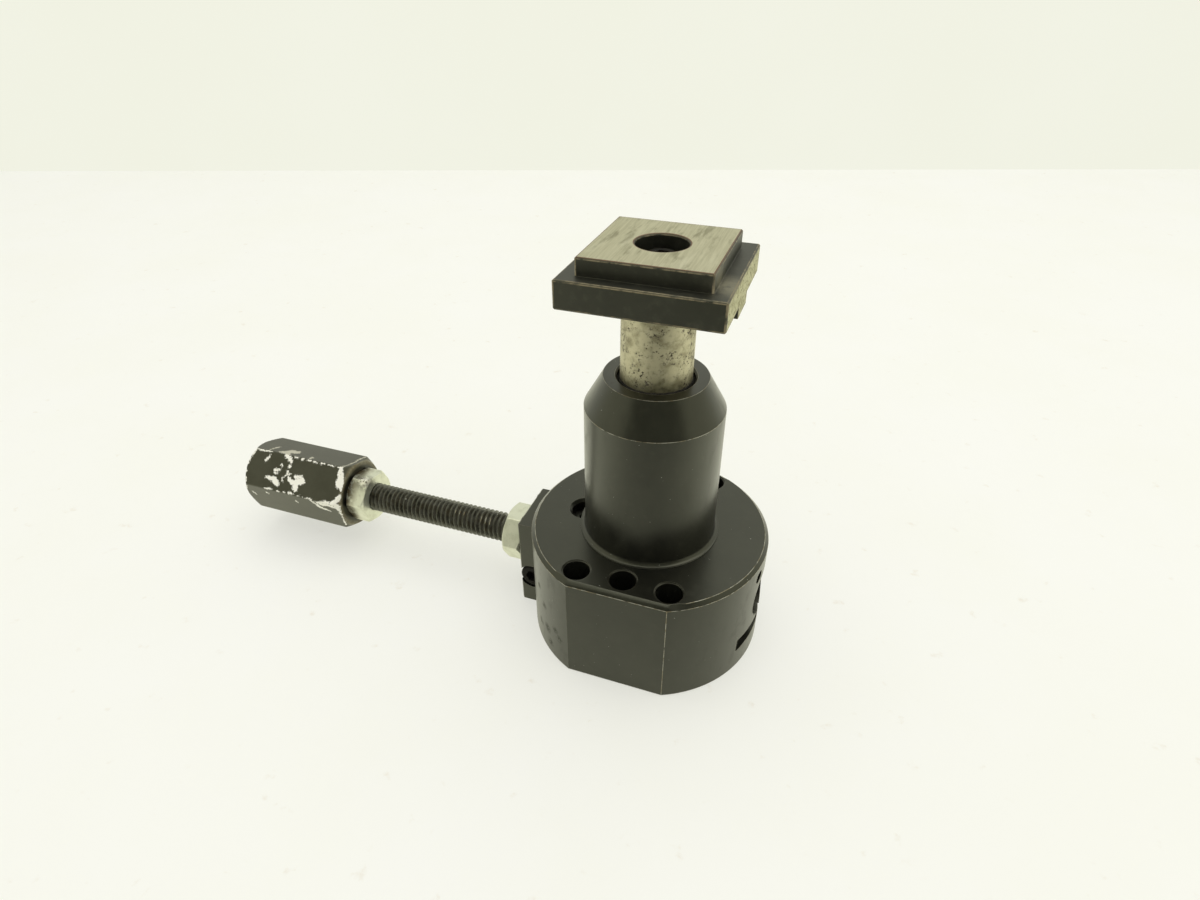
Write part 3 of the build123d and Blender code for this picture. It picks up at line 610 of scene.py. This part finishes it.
def hexagon_piece(node_name, edge_round, cell):
    """Hexagon piece on the rod, gridded: rounded corners, and both ends turned to a cone as in the CAD node,
    from which its sizes are read."""
    low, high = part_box(node_name)
    ends = (low.x, high.x)
    places = [(*around(vertex.co), vertex.co.x) for vertex in frame["nodes"][node_name].data.vertices]
    corner_radius, corner_angle, _ = max(places)
    corner_angle %= pi / 3
    bore_radius = min(places)[0]
    face_radius = corner_radius * cos(pi / 6)
    corners = [x for radius, _, x in places if radius > corner_radius - ON_PLANE]
    cone_depth = min(abs(x - end) for x in corners for end in ends)

    bm = bmesh.new()
    ring = bmesh.ops.create_circle(bm, segments=6, radius=corner_radius, matrix=ALONG_ROD)["verts"]
    _, first_angle = around(ring[0].co + Vector((0, 0, LOCK_AXIS_HEIGHT)))
    bmesh.ops.rotate(bm, verts=bm.verts, cent=(0, 0, 0),
                     matrix=Matrix.Rotation(corner_angle - first_angle, 3, "X"))
    bmesh.ops.translate(bm, verts=bm.verts, vec=(ends[0], 0, LOCK_AXIS_HEIGHT))
    pulled = bmesh.ops.extrude_edge_only(bm, edges=bm.edges[:])["geom"]
    far_ring = [item for item in pulled if isinstance(item, bmesh.types.BMVert)]
    bmesh.ops.translate(bm, verts=far_ring, vec=(ends[1] - ends[0], 0, 0))
    long_edges = [edge for edge in bm.edges if len(edge.link_faces) == 2]
    bmesh.ops.bevel(bm, geom=long_edges, offset=edge_round, offset_type="OFFSET", segments=3, profile=0.5,
                    affect="EDGES", clamp_overlap=False, material=-1)
    # The flats are divided lengthwise by their end edges, then the whole bar across its length
    flats = [edge for edge in bm.edges
             if len(edge.link_faces) == 1 and edge.calc_length() > corner_radius / 2]
    bmesh.ops.subdivide_edges(bm, edges=flats, cuts=max(2, int(corner_radius / cell)), use_grid_fill=True)
    slices = [end + cone_depth * way * k / CONE_CELLS
              for end, way in zip(ends, (1, -1)) for k in range(1, CONE_CELLS + 2)]
    first = ends[0] + PAST_CONE * cone_depth
    last = ends[1] - PAST_CONE * cone_depth
    middle_cells = max(1, int((last - first) / cell))
    slices += [first + (last - first) * k / middle_cells for k in range(1, middle_cells)]
    for x in slices:
        cut_across(bm, x)
    for vertex in bm.verts:
        inward = min(abs(vertex.co.x - end) for end in ends)
        pull_in(vertex, face_radius + (corner_radius - face_radius) * inward / cone_depth)
    # Each end face is drawn in to the bore, and the bore is joined through
    for place in ends:
        rim = [edge for edge in bm.edges if len(edge.link_faces) == 1
               and all(abs(end.co.x - place) < SAME_PLACE for end in edge.verts)]
        for share in (0.25, 0.5, 1.0):
            drawn = bmesh.ops.extrude_edge_only(bm, edges=rim)["geom"]
            rim = [item for item in drawn if isinstance(item, bmesh.types.BMEdge)]
            for vertex in {end for edge in rim for end in edge.verts}:
                pull_in(vertex, face_radius + (bore_radius - face_radius) * share)
    rims = [edge for edge in bm.edges if len(edge.link_faces) == 1]
    bmesh.ops.bridge_loops(bm, edges=rims)
    bmesh.ops.remove_doubles(bm, verts=bm.verts, dist=SAME_PLACE)
    bmesh.ops.recalc_face_normals(bm, faces=bm.faces)
    return bm, face_radius, corner_angle


def unrolled(place, face_radius, corner_angle, ends):
    """Place on a hexagon piece laid out flat, in millimetres: along it from the outer end, and round the
    flats from the middle of the front flat. The end faces are folded outwards past the ends."""
    reach, angle = around(place)
    front = corner_angle + radians(90)
    turn = (front - angle + pi) % (2 * pi) - pi
    flat = round(turn / (pi / 3))
    local = turn - flat * pi / 3
    side = 2 * face_radius / 3 ** 0.5
    past = [max(0.0, face_radius - reach) if abs(place.x - end) < ON_PLANE else 0.0 for end in ends]
    along = place.x - ends[0] - past[0] + past[1]
    return along / MM, (flat * side + face_radius * sin(local) / cos(local)) / MM


def clamped(share):
    """A share held between zero and one."""
    return max(0.0, min(1.0, share))


def stroke_distance(x, y, points):
    """Distance from a place to a chipped stroke's edge, in millimetres. Inside the stroke it is negative."""
    nearest = min(hypot(x - px, y - py) - radius for px, py, radius in points)
    for (ax, ay, ar), (bx, by, br) in zip(points, points[1:]):
        length = (bx - ax) ** 2 + (by - ay) ** 2
        share = clamped(((x - ax) * (bx - ax) + (y - ay) * (by - ay)) / length)
        reach = hypot(x - ax - share * (bx - ax), y - ay - share * (by - ay)) - ar - share * (br - ar)
        nearest = min(nearest, reach)
    return nearest


# Chips in the handle's enamel, each a stroke of (place along from the outer end, place round the flats, half
# width) in millimetres. Round the flats, zero is the middle of the front flat and the top flat is above it.
PAINT_CHIPS = (
    # Top flat
    ((6.3, 7.5, 0.23), (6.7, 9.4, 0.31), (7.4, 11.2, 0.23)),
    ((10.3, 7.4, 0.31), (12.3, 8.0, 1.19), (13.8, 9.6, 1.43), (15.7, 9.9, 1.13)),
    ((14.5, 6.0, 0.71), (13.6, 8.0, 0.93)),
    ((22.9, 8.5, 0.59), (23.1, 7.2, 0.3)),
    # Corner between the top and front flats
    ((1.5, 6.4, 0.15), (3.2, 6.2, 0.19), (5.0, 6.2, 0.31), (6.4, 6.3, 0.19), (8.0, 6.3, 0.23)),
    ((17.6, 6.4, 0.31), (19.0, 6.3, 0.27)),
    ((20.9, 6.2, 0.44), (21.0, 6.4, 0.44)),
    ((22.7, 6.2, 0.27), (24.2, 6.3, 0.23)),
    ((25.4, 6.3, 0.23), (26.7, 6.2, 0.23)),
    ((28.4, 6.3, 0.31), (30.1, 6.4, 0.19)),
    ((31.3, 6.3, 0.19), (31.5, 6.3, 0.19)),
    ((32.3, 6.3, 0.19), (33.6, 6.2, 0.19)),
    ((35.2, 6.2, 0.31), (35.7, 6.3, 0.25)),
    # Front flat
    ((7.8, 4.9, 0.27), (7.3, 3.9, 0.47), (6.7, 2.7, 0.31)),
    ((15.3, 5.8, 0.68), (16.1, 5.2, 0.81), (16.8, 4.4, 0.47)),
    ((16.7, 2.9, 0.53), (16.8, 2.7, 0.53)),
    ((13.3, 2.7, 0.27), (13.8, 2.4, 0.19)),
    ((11.4, 0.4, 0.44), (13.4, 1.0, 0.31)),
    ((11.7, -0.6, 0.27), (13.0, -0.3, 0.27)),
    ((16.6, 0.6, 0.44), (16.6, 0.0, 0.19), (18.1, 0.4, 0.23)),
    ((8.8, -2.5, 0.31), (10.6, -2.6, 0.62), (12.1, -2.7, 0.86), (13.4, -3.6, 0.96), (14.1, -4.0, 0.68)),
    ((17.4, -0.1, 0.15), (16.2, -0.7, 0.15), (15.3, -1.6, 0.19), (15.3, -2.3, 0.15), (15.9, -2.7, 0.15)),
    ((17.9, -1.3, 0.58), (19.2, -2.2, 0.68), (20.8, -2.4, 0.96)),
    ((20.3, -0.2, 0.58), (22.4, 0.1, 0.62)),
    ((21.3, -1.9, 1.25), (22.9, -1.3, 1.15), (23.8, -1.3, 0.58)),
    ((21.2, -3.5, 1.06), (21.7, -4.7, 0.58)),
    # Corner between the front and lower flats
    ((9.7, -6.5, 0.15), (11.0, -6.2, 0.27), (12.4, -6.2, 0.19)),
    ((14.5, -6.4, 0.15), (15.9, -6.3, 0.12)),
    ((17.4, -6.3, 0.23), (17.8, -6.3, 0.2)),
    ((19.8, -6.0, 0.58), (21.1, -6.1, 0.23)),
    ((23.3, -6.3, 0.15), (23.9, -6.3, 0.15)),
    ((25.3, -6.5, 0.12), (26.9, -6.4, 0.19), (28.7, -6.4, 0.23)),
    ((28.3, -7.3, 0.27), (29.6, -8.4, 0.44), (30.8, -9.6, 0.68), (32.4, -10.2, 0.47), (34.8, -10.8, 0.19)),
    ((30.5, -7.3, 0.47), (32.5, -7.8, 0.68), (35.4, -7.2, 0.58)),
    ((32.1, -7.0, 0.47), (33.7, -6.6, 0.72), (35.4, -6.1, 0.47)),
    # Band along the turned end by the nut
    ((35.5, -7.6, 0.58), (37.3, -7.9, 0.47)),
    ((36.6, -6.4, 0.68), (37.9, -5.4, 0.86), (38.5, -4.0, 0.68), (38.8, -2.8, 0.31)),
    ((38.0, -6.7, 0.78), (38.5, -8.1, 0.58), (38.8, -9.6, 0.3), (38.6, -13.6, 0.19), (38.1, -17.3, 0.31)),
    ((36.6, 6.1, 0.58), (36.5, 4.9, 0.86), (36.4, 3.7, 0.58), (37.4, 2.6, 0.96), (36.9, 1.2, 0.96),
     (37.1, 0.1, 0.72), (38.0, -0.2, 0.58)),
    ((37.3, 4.5, 0.58), (38.3, 1.6, 0.68), (38.8, -1.3, 0.3)),
    ((36.4, 6.9, 0.31), (37.0, 9.4, 0.19), (37.5, 12.3, 0.15), (37.0, 15.4, 0.23), (37.5, 18.2, 0.27)),
    # Lower flat
    ((2.6, -10.6, 0.27), (3.5, -11.9, 0.23)),
    ((9.2, -8.9, 0.23), (10.1, -9.2, 0.19)),
    ((20.9, -9.7, 0.23), (21.7, -10.4, 0.15)),
    # Nicks along the turned edge of the outer end
    ((1.6, 6.3, 0.35), (1.2, 5.2, 0.3), (0.6, 3.6, 0.32)),
    ((0.3, 2.6, 0.3), (0.1, 1.4, 0.35), (0.0, 0.7, 0.3)),
    ((0.1, -1.4, 0.3), (0.2, -2.3, 0.3)),
    ((0.8, -4.2, 0.3), (1.3, -5.6, 0.32)),
    ((1.2, -7.4, 0.25), (0.7, -8.9, 0.2)),
)


def finish_node(node_name):
    """Gives a CAD node that stays as it is the material of its slot."""
    node = frame["nodes"][node_name]
    material = finish_of(slot_of_node(node_name))
    if node.material_slots:
        for holder in node.material_slots:
            holder.link = "OBJECT"
            holder.material = material
    else:
        node.data.materials.append(material)


def length_property(name, description, usual, least, most):
    """Length that the user can change, given in millimetres."""
    return bpy.props.FloatProperty(name=name, description=description, default=usual * MM, min=least * MM,
                                   max=most * MM, unit="LENGTH", precision=5)


class WorkSupportSizes(bpy.types.PropertyGroup):
    """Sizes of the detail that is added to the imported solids."""

    edge_break: length_property(
        "Edge break", "Width of the rounding on each side of the housing's edges", 0.09, 0.05, 0.6)
    handle_edge: length_property("Handle edge", "Width of the handle's rounded corners", 0.4, 0.1, 0.8)
    thread_pitch: length_property(
        "Thread pitch", "Pitch of the lock screw's thread, sixteen to the inch", 25.4 / 16, 0.5, 3.0)
    thread_depth: length_property("Thread depth", "Depth of the lock screw's thread", 0.9, 0.2, 1.5)


def tint(name, description, code):
    """Colour that the user can change, written as an sRGB hex value."""
    return bpy.props.FloatVectorProperty(
        name=name, description=description, default=linear(code), size=4, min=0.0, max=1.0, subtype="COLOR")


class WorkSupportColours(bpy.types.PropertyGroup):
    """Colours of the finishes."""

    oxide: tint("Black oxide", "Blackened steel in its darkest patches", "#11110e")
    oxide_film: tint("Oil film", "Blackened steel under its oil film", "#1a1a15")
    oxide_worn: tint("Thin oxide", "Blackened steel rubbed thin", "#35342b")
    oxide_sheen: tint("Oxide sheen", "Olive cast of the oil film's shine", "#f9fbe6")
    bare_steel: tint("Bare steel", "Steel at a worn edge", "#9b998a")
    rubbed: tint("Rubbed steel", "Steel where handling has thinned its black", "#86816a")
    ground_steel: tint("Ground steel", "Plunger where it is clean", "#c6c1a8")
    stained_steel: tint("Stained steel", "Ground steel browned by old oil", "#807a62")
    rust: tint("Rust pits", "Small dark pits in ground steel, and nicks", "#33291b")
    edge_brown: tint("Edge brown", "Rust along worn edges, and old grease", "#74694f")
    pad_bright: tint("Pad, bright", "Ground rest face in the wheel's lines", "#c2beab")
    pad_dull: tint("Pad, dull", "Ground rest face between the lines", "#aca894")
    pad_streak: tint("Pad, streaks", "Dark streaks that oil leaves on the rest face", "#76725f")
    pad_clean: tint("Pad, clean", "Ground rest face where work has polished it", "#d2cfbe")
    rust_line: tint("Rust line", "Brown line along the rest face's edges", "#5b3a22")
    zinc: tint("Zinc", "Zinc plate of the nuts", "#d9dbc8")
    zinc_dull: tint("Dull zinc", "Zinc plate where it has dulled", "#b2b49e")
    paint: tint("Enamel", "Black enamel of the handle", "#323229")
    paint_rubbed: tint("Rubbed enamel", "Black enamel polished by hands", "#3a3a30")
    enamel_sheen: tint("Enamel sheen", "Yellow cast of the enamel's shine", "#f3f1cf")
    primer: tint("Primer", "Pale primer in the chips", "#eeecdf")


class WORKSUPPORT_OT_housing(bpy.types.Operator):
    """Base, tower, split block and bottom cover, with broken edges and black oxide"""

    bl_idname = "work_support.housing"
    bl_label = "Housing"

    def execute(self, context):
        width = context.scene.work_support_sizes.edge_break / MM
        dress("base_block", width, HOUSING_ANGLE, base_wear, narrow_hole_edges)
        dress("tower", width, HOUSING_ANGLE, tower_wear)
        for name in ("lock_block", "bottom_cover"):
            dress(name, width * SMALL_PIECE_EDGE, wear_at=lambda place: SMALL_PIECE_WEAR)
        return {"FINISHED"}


class WORKSUPPORT_OT_plunger(bpy.types.Operator):
    """Plunger with its seal, bush, spring and guide pin"""

    bl_idname = "work_support.plunger"
    bl_label = "Plunger"

    def execute(self, context):
        for name in ("plunger", "wiper_seal", "guide_bush", "guide_pin", "guide_pin_plug"):
            finish_node(name)
        # The spring stands on the cover and shortens by the travel as the plunger goes down; here it only
        # gets a mesh of its own
        spring = settle(merged_copy("plunger_spring"), "plunger_spring_dressed", "plunger_spring")
        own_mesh(spring)
        return {"FINISHED"}


class WORKSUPPORT_OT_rest_pad(bpy.types.Operator):
    """Rest pad with its ground faces and rust lines"""

    bl_idname = "work_support.rest_pad"
    bl_label = "Rest pad"

    def execute(self, context):
        bm = merged_copy("rest_pad")
        break_edges(bm, context.scene.work_support_sizes.edge_break / MM * PAD_EDGE)
        ground, side, rust = (bm.faces.layers.float.new(name)
                              for name in ("ground_face", "ground_side", "rust_line"))
        wear = bm.faces.layers.float.get("edge_wear")
        for face in bm.faces:
            middle = face.calc_center_median()
            on_top = face.normal.z > SQUARE_SHARE and middle.z > PAD_HIGH.z - OUTSIDE_DEPTH
            on_side = abs(face.normal.x) > SQUARE_SHARE and abs(middle.x) > PAD_HIGH.x - OUTSIDE_DEPTH
            if (on_top or on_side) and face[wear] == 0.0:
                face[ground] = 1.0
                face[side] = float(on_side)
            elif middle.z > PAD_HIGH.z - RUST_LINE_DEPTH and face[wear] > 0.0:
                face[rust] = 1.0
        settle(bm, "rest_pad_dressed", "rest_pad")
        return {"FINISHED"}


class WORKSUPPORT_OT_screws(bpy.types.Operator):
    """Cap screws, flat screws, set screws and the shoes of the lock"""

    bl_idname = "work_support.screws"
    bl_label = "Screws and shoes"

    def execute(self, context):
        for name in ("pinch_screw", "block_screws", "pad_screw"):
            dress(name, SCREW_EDGE, SCREW_ANGLE).data.materials[0] = finish_of("cap_screw")
        for name in ("tower_screws", "bottom_cover_screws", "shoe_key_screw", "drive_shoe", "reaction_shoe",
                     "backing_plug"):
            finish_node(name)
        return {"FINISHED"}


class WORKSUPPORT_OT_lock_screw(bpy.types.Operator):
    """Threaded rod with its two lock nuts"""

    bl_idname = "work_support.lock_screw"
    bl_label = "Lock screw"

    turn_steps: bpy.props.IntProperty(
        name="Steps in a turn", description="Facets in one turn of the thread", default=28, min=12, max=64)

    def execute(self, context):
        sizes = context.scene.work_support_sizes
        settle(threaded_rod(sizes.thread_pitch, sizes.thread_depth, self.turn_steps), "lock_rod_threaded",
               "lock_rod", THREAD_ANGLE)
        for name in ("near_lock_nut", "far_lock_nut"):
            bm, _, _ = hexagon_piece(name, NUT_EDGE, NUT_CELL)
            settle(bm, name + "_dressed", name, HEXAGON_ANGLE)
        return {"FINISHED"}


def threaded_rod(pitch, depth, steps):
    """Rod with a full V thread from its tip's shoulder to its outer end, and a plain tip."""
    shoulder = ROD_HIGH.x - TIP_LENGTH
    root = ROD_RADIUS - depth
    turns = int((shoulder - ROD_LOW.x) / pitch) + 3
    bm = bmesh.new()
    corners = [bm.verts.new((ROD_LOW.x - pitch + share * pitch, 0.0, root + rise * depth))
               for share, rise in TOOTH]
    edges = [bm.edges.new(pair) for pair in zip(corners, corners[1:])]
    bmesh.ops.spin(bm, geom=corners + edges, cent=(0, 0, 0), axis=(1, 0, 0), angle=2 * pi * turns,
                   dvec=(pitch / steps, 0, 0), steps=steps * turns, use_merge=False, use_duplicate=False)
    bmesh.ops.remove_doubles(bm, verts=bm.verts, dist=SAME_PLACE * 2)
    for place, outward in ((ROD_LOW.x, -1), (shoulder, 1)):
        bmesh.ops.contextual_create(bm, geom=cut_across(bm, place, outward, clear=True))
    middle = (shoulder + ROD_HIGH.x - TIP_OVERLAP) / 2
    bmesh.ops.create_cone(bm, cap_ends=True, segments=32, radius1=TIP_RADIUS, radius2=TIP_RADIUS,
                          depth=TIP_LENGTH + TIP_OVERLAP,
                          matrix=Matrix.Translation((middle, 0, 0)) @ ALONG_ROD)
    bmesh.ops.translate(bm, verts=bm.verts, vec=(0, 0, LOCK_AXIS_HEIGHT))
    bmesh.ops.recalc_face_normals(bm, faces=bm.faces)
    wear = bm.faces.layers.float.new("edge_wear")
    for face in bm.faces:
        middle = face.calc_center_median()
        reach, angle = around(middle)
        if reach <= ROD_RADIUS - CREST_DEPTH:
            face[wear] = FLANK_WEAR
        # Painted glints: the crests at these places and angles get full wear, a bright bare colour
        elif any(low < middle.x / MM < high and abs(angle - radians(turn)) < radians(PAINTED_GLINT_HALF_ANGLE)
                 for low, high, turn in PAINTED_GLINT_CRESTS):
            face[wear] = 1.0
        else:
            face[wear] = CREST_WEAR
    return bm


class WORKSUPPORT_OT_handle(bpy.types.Operator):
    """Hexagon handle with rounded corners and chipped enamel"""

    bl_idname = "work_support.handle"
    bl_label = "Handle"

    def execute(self, context):
        bm, face_radius, corner_angle = hexagon_piece(
            "hex_handle", context.scene.work_support_sizes.handle_edge, HANDLE_CELL)
        chip, bare, grime_and_shade, faded = (bm.verts.layers.float.new(name)
                                    for name in ("paint_chip", "bare_steel", "grime_and_shade", "faded_primer"))
        nut_low, nut_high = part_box("far_lock_nut")
        grime_and_shade_edge = (nut_high.y - nut_low.y) / 2 + GRIME_AND_SHADE_BAND * MM
        for vertex in bm.verts:
            x, y = unrolled(vertex.co, face_radius, corner_angle, (HANDLE_LOW.x, HANDLE_HIGH.x))
            close = [points for points in PAINT_CHIPS
                     if min(hypot(x - px, y - py) for px, py, _ in points) < CHIP_REACH]
            vertex[chip] = min([1.0] + [stroke_distance(x, y, points) for points in close])
            vertex[faded] = FADED_SHARE if y > TOP_FLAT_START else 0.0
            vertex[bare] = clamped(x - (HANDLE_HIGH.x - HANDLE_LOW.x) / MM + BARE_BAND)
            # Grime and painted shade on the end face round the nut, fading out over a soft rim
            at_end = abs(vertex.co.x - HANDLE_HIGH.x) < OUTSIDE_DEPTH
            vertex[grime_and_shade] = clamped((grime_and_shade_edge - around(vertex.co)[0]) / (GRIME_AND_SHADE_RIM * MM)) * at_end
        settle(bm, "hex_handle_dressed", "hex_handle", HEXAGON_ANGLE)
        return {"FINISHED"}


class WORKSUPPORT_OT_stage(bpy.types.Operator):
    """Pale table and wall, soft studio light and the photograph's camera"""

    bl_idname = "work_support.stage"
    bl_label = "Stage"

    def execute(self, context):
        scene = context.scene
        scene.view_settings.view_transform = "Standard"
        forward_angle = radians(90 + CAMERA_TURN)
        forward = Vector((cos(forward_angle), sin(forward_angle), 0))
        across = Vector((forward.y, -forward.x, 0))
        up = Vector((0, 0, 1))
        foot = Vector((*CAMERA_PLACE[:2], 0))
        edge = foot + forward * TABLE_EDGE_DISTANCE
        table = stage_quad("table", edge, across * TABLE_HALF_WIDTH, forward * -TABLE_DEPTH, table_top())
        wall = stage_quad("wall", edge + forward * WALL_DISTANCE + up * WALL_FOOT, across * -WALL_HALF_WIDTH,
                          up * WALL_HEIGHT, wall_paint())
        # Painted shade of the room: a sheet that only the metal's reflections show
        dark = stage_quad("dark_side_of_the_room", foot - forward * DARK_DISTANCE, across * DARK_HALF_WIDTH,
                          up * DARK_HEIGHT, dark_side())
        dark.visible_camera = False
        dark.visible_diffuse = False
        dark.visible_shadow = False
        overhead_softbox()
        world_light(scene)
        scene.camera = photograph_camera()
        return {"FINISHED"}


def stage_quad(name, start, across, along, material):
    """Flat piece of the stage: from the middle of one edge, half that edge, and the way to the far edge."""
    bm = bmesh.new()
    corners = (start - across, start + across, start + across + along, start - across + along)
    bm.faces.new([bm.verts.new(corner) for corner in corners])
    mesh = bpy.data.meshes.new(name)
    bm.to_mesh(mesh)
    bm.free()
    mesh.materials.append(material)
    return new_object(name, mesh)


def photograph_camera():
    """The photograph's camera."""
    data = bpy.data.cameras.new("photograph")
    data.lens = CAMERA_LENS
    data.sensor_width = 36.0
    data.sensor_fit = "HORIZONTAL"
    data.clip_start = 0.01
    camera = new_object("photograph", data)
    turn = (Matrix.Rotation(radians(CAMERA_TURN), 4, "Z") @ Matrix.Rotation(radians(CAMERA_TILT), 4, "X")
            @ Matrix.Rotation(radians(CAMERA_ROLL), 4, "Z"))
    camera.matrix_world = Matrix.Translation(CAMERA_PLACE) @ turn
    return camera


def overhead_softbox():
    """Square soft light above the object, aimed at it."""
    lamp = bpy.data.lights.new("overhead softbox", "AREA")
    lamp.shape = "SQUARE"
    lamp.size = SOFTBOX_SIDE
    lamp.energy = SOFTBOX_POWER
    lamp.color = linear("#fffefa")[:3]
    holder = new_object("overhead softbox", lamp)
    holder.location = SOFTBOX_PLACE
    holder.rotation_euler = (Vector(SOFTBOX_PLACE) - Vector(SOFTBOX_AIM)).to_track_quat("Z", "Y").to_euler()


def table_top():
    """Laminate table, matt: off-white with faint stains, its shadows about half lifted where it is seen, as
    the photograph's bright exposure lifts them. The metal sees it dim by the photographer's feet and bright
    further off."""
    material, tree = new_material("laminate, matt off-white")
    where = millimetres(tree)
    colour = layered(tree, linear("#f8f8f1"), (patches(tree, where, 90, 0.3, 0.7), linear("#f7f7ee")),
                     (patches(tree, where, 7, 0.63, 0.78, 0.5), linear("#e4dcc9")))
    foot = [part / MM for part in CAMERA_PLACE[:2]] + [0.0]
    reach = add_node(tree, "VectorMath", {0: where, 1: foot}, output="Value", operation="DISTANCE")
    shift = add_node(tree, "MapRange", {
        "Value": reach, "From Min": TABLE_CHANGE_NEAR, "From Max": TABLE_CHANGE_FAR,
        "To Min": -TABLE_CHANGE, "To Max": TABLE_CHANGE,
    }, interpolation_type="SMOOTHSTEP")
    # Painted reflection: the metal sees the table in a warmer colour, dim near the camera's foot and bright
    # further off
    in_metal = add_node(tree, "LightPath", output="Is Glossy Ray")
    shown = layered(tree, colour, (in_metal, linear("#f8f8dd")))
    bright = add_node(tree, "Math", {0: shift, 1: in_metal, 2: TABLE_BRIGHTNESS}, operation="MULTIPLY_ADD")
    return finished(material, "MixShader", {
        0: product(tree, seen_directly(tree), SHADOW_LIFT),
        1: add_node(tree, "BsdfDiffuse", {"Color": colour}),
        2: add_node(tree, "Emission", {"Color": shown, "Strength": bright}),
    })


def seen_directly(tree):
    """One for what the camera, the metal and glass see, and zero for what only sends light."""
    seen = 0.0
    for name in ("Is Camera Ray", "Is Glossy Ray", "Is Transmission Ray"):
        ray = add_node(tree, "LightPath", output=name)
        seen = add_node(tree, "Math", {0: seen, 1: ray}, operation="MAXIMUM")
    return seen


def wall_paint():
    """Painted wall, matt: plain cream that the camera and the metal see at its written colour."""
    material, tree = new_material("wall, matt cream paint")
    drift = patches(tree, millimetres(tree), 400, 0.3, 0.7)
    colour = layered(tree, linear("#f2f3e5"), (drift, linear("#f1f2e3")))
    return finished(material, "MixShader", {
        0: seen_directly(tree),
        1: add_node(tree, "BsdfDiffuse", {"Color": colour}),
        2: add_node(tree, "Emission", {"Color": colour, "Strength": 1.0}),
    })


def dark_side():
    """Dim grey sheet that paints the shade of the room behind the photographer into the metal's reflections;
    only the metal sees it.
    """
    material, tree = new_material("grey sheet, painted room shade in reflections")
    drift = patches(tree, millimetres(tree), 60, 0.3, 0.7)
    return finished(material, "BsdfDiffuse", {
        "Color": layered(tree, linear("#84847a"), (drift, linear("#8e8e83"))),
    })


def world_light(scene):
    """Cream room: plain where it is seen, and soft fill light from all round."""
    world = bpy.data.worlds.new("cream room")
    world.use_nodes = True
    tree = world.node_tree
    tree.nodes.clear()
    add_node(tree, "OutputWorld", {"Surface": add_node(tree, "MixShader", {
        0: seen_directly(tree),
        1: add_node(tree, "Background", {"Color": linear("#fffffc"), "Strength": FILL_LIGHT}),
        2: add_node(tree, "Background", {"Color": linear("#f0efd6"), "Strength": 1.0}),
    })})
    scene.world = world


class WORKSUPPORT_PT_panel(bpy.types.Panel):
    """Lists the pieces of the work support"""

    bl_label = "Work support"
    bl_idname = "WORKSUPPORT_PT_panel"
    bl_space_type = "VIEW_3D"
    bl_region_type = "UI"
    bl_category = "Work support"

    def draw(self, context):
        layout = self.layout
        for operator in OPERATORS:
            layout.operator(operator.bl_idname)
        for group in (context.scene.work_support_sizes, context.scene.work_support_colours):
            column = layout.column()
            for name in group.bl_rna.properties.keys():
                if name not in ("rna_type", "name"):
                    column.prop(group, name)


OPERATORS = (
    WORKSUPPORT_OT_housing,
    WORKSUPPORT_OT_plunger,
    WORKSUPPORT_OT_rest_pad,
    WORKSUPPORT_OT_screws,
    WORKSUPPORT_OT_lock_screw,
    WORKSUPPORT_OT_handle,
    WORKSUPPORT_OT_stage,
)
CLASSES = (WorkSupportSizes, WorkSupportColours, *OPERATORS, WORKSUPPORT_PT_panel)


def register():
    for cls in CLASSES:
        bpy.utils.register_class(cls)
    bpy.types.Scene.work_support_sizes = bpy.props.PointerProperty(type=WorkSupportSizes)
    bpy.types.Scene.work_support_colours = bpy.props.PointerProperty(type=WorkSupportColours)


def unregister():
    del bpy.types.Scene.work_support_colours
    del bpy.types.Scene.work_support_sizes
    for cls in reversed(CLASSES):
        bpy.utils.unregister_class(cls)


def main():
    register()
    bpy.ops.work_support.housing()
    bpy.ops.work_support.plunger()
    bpy.ops.work_support.rest_pad()
    bpy.ops.work_support.screws()
    bpy.ops.work_support.lock_screw()
    bpy.ops.work_support.handle()
    bpy.ops.work_support.stage()


if __name__ == "__main__":
    main()
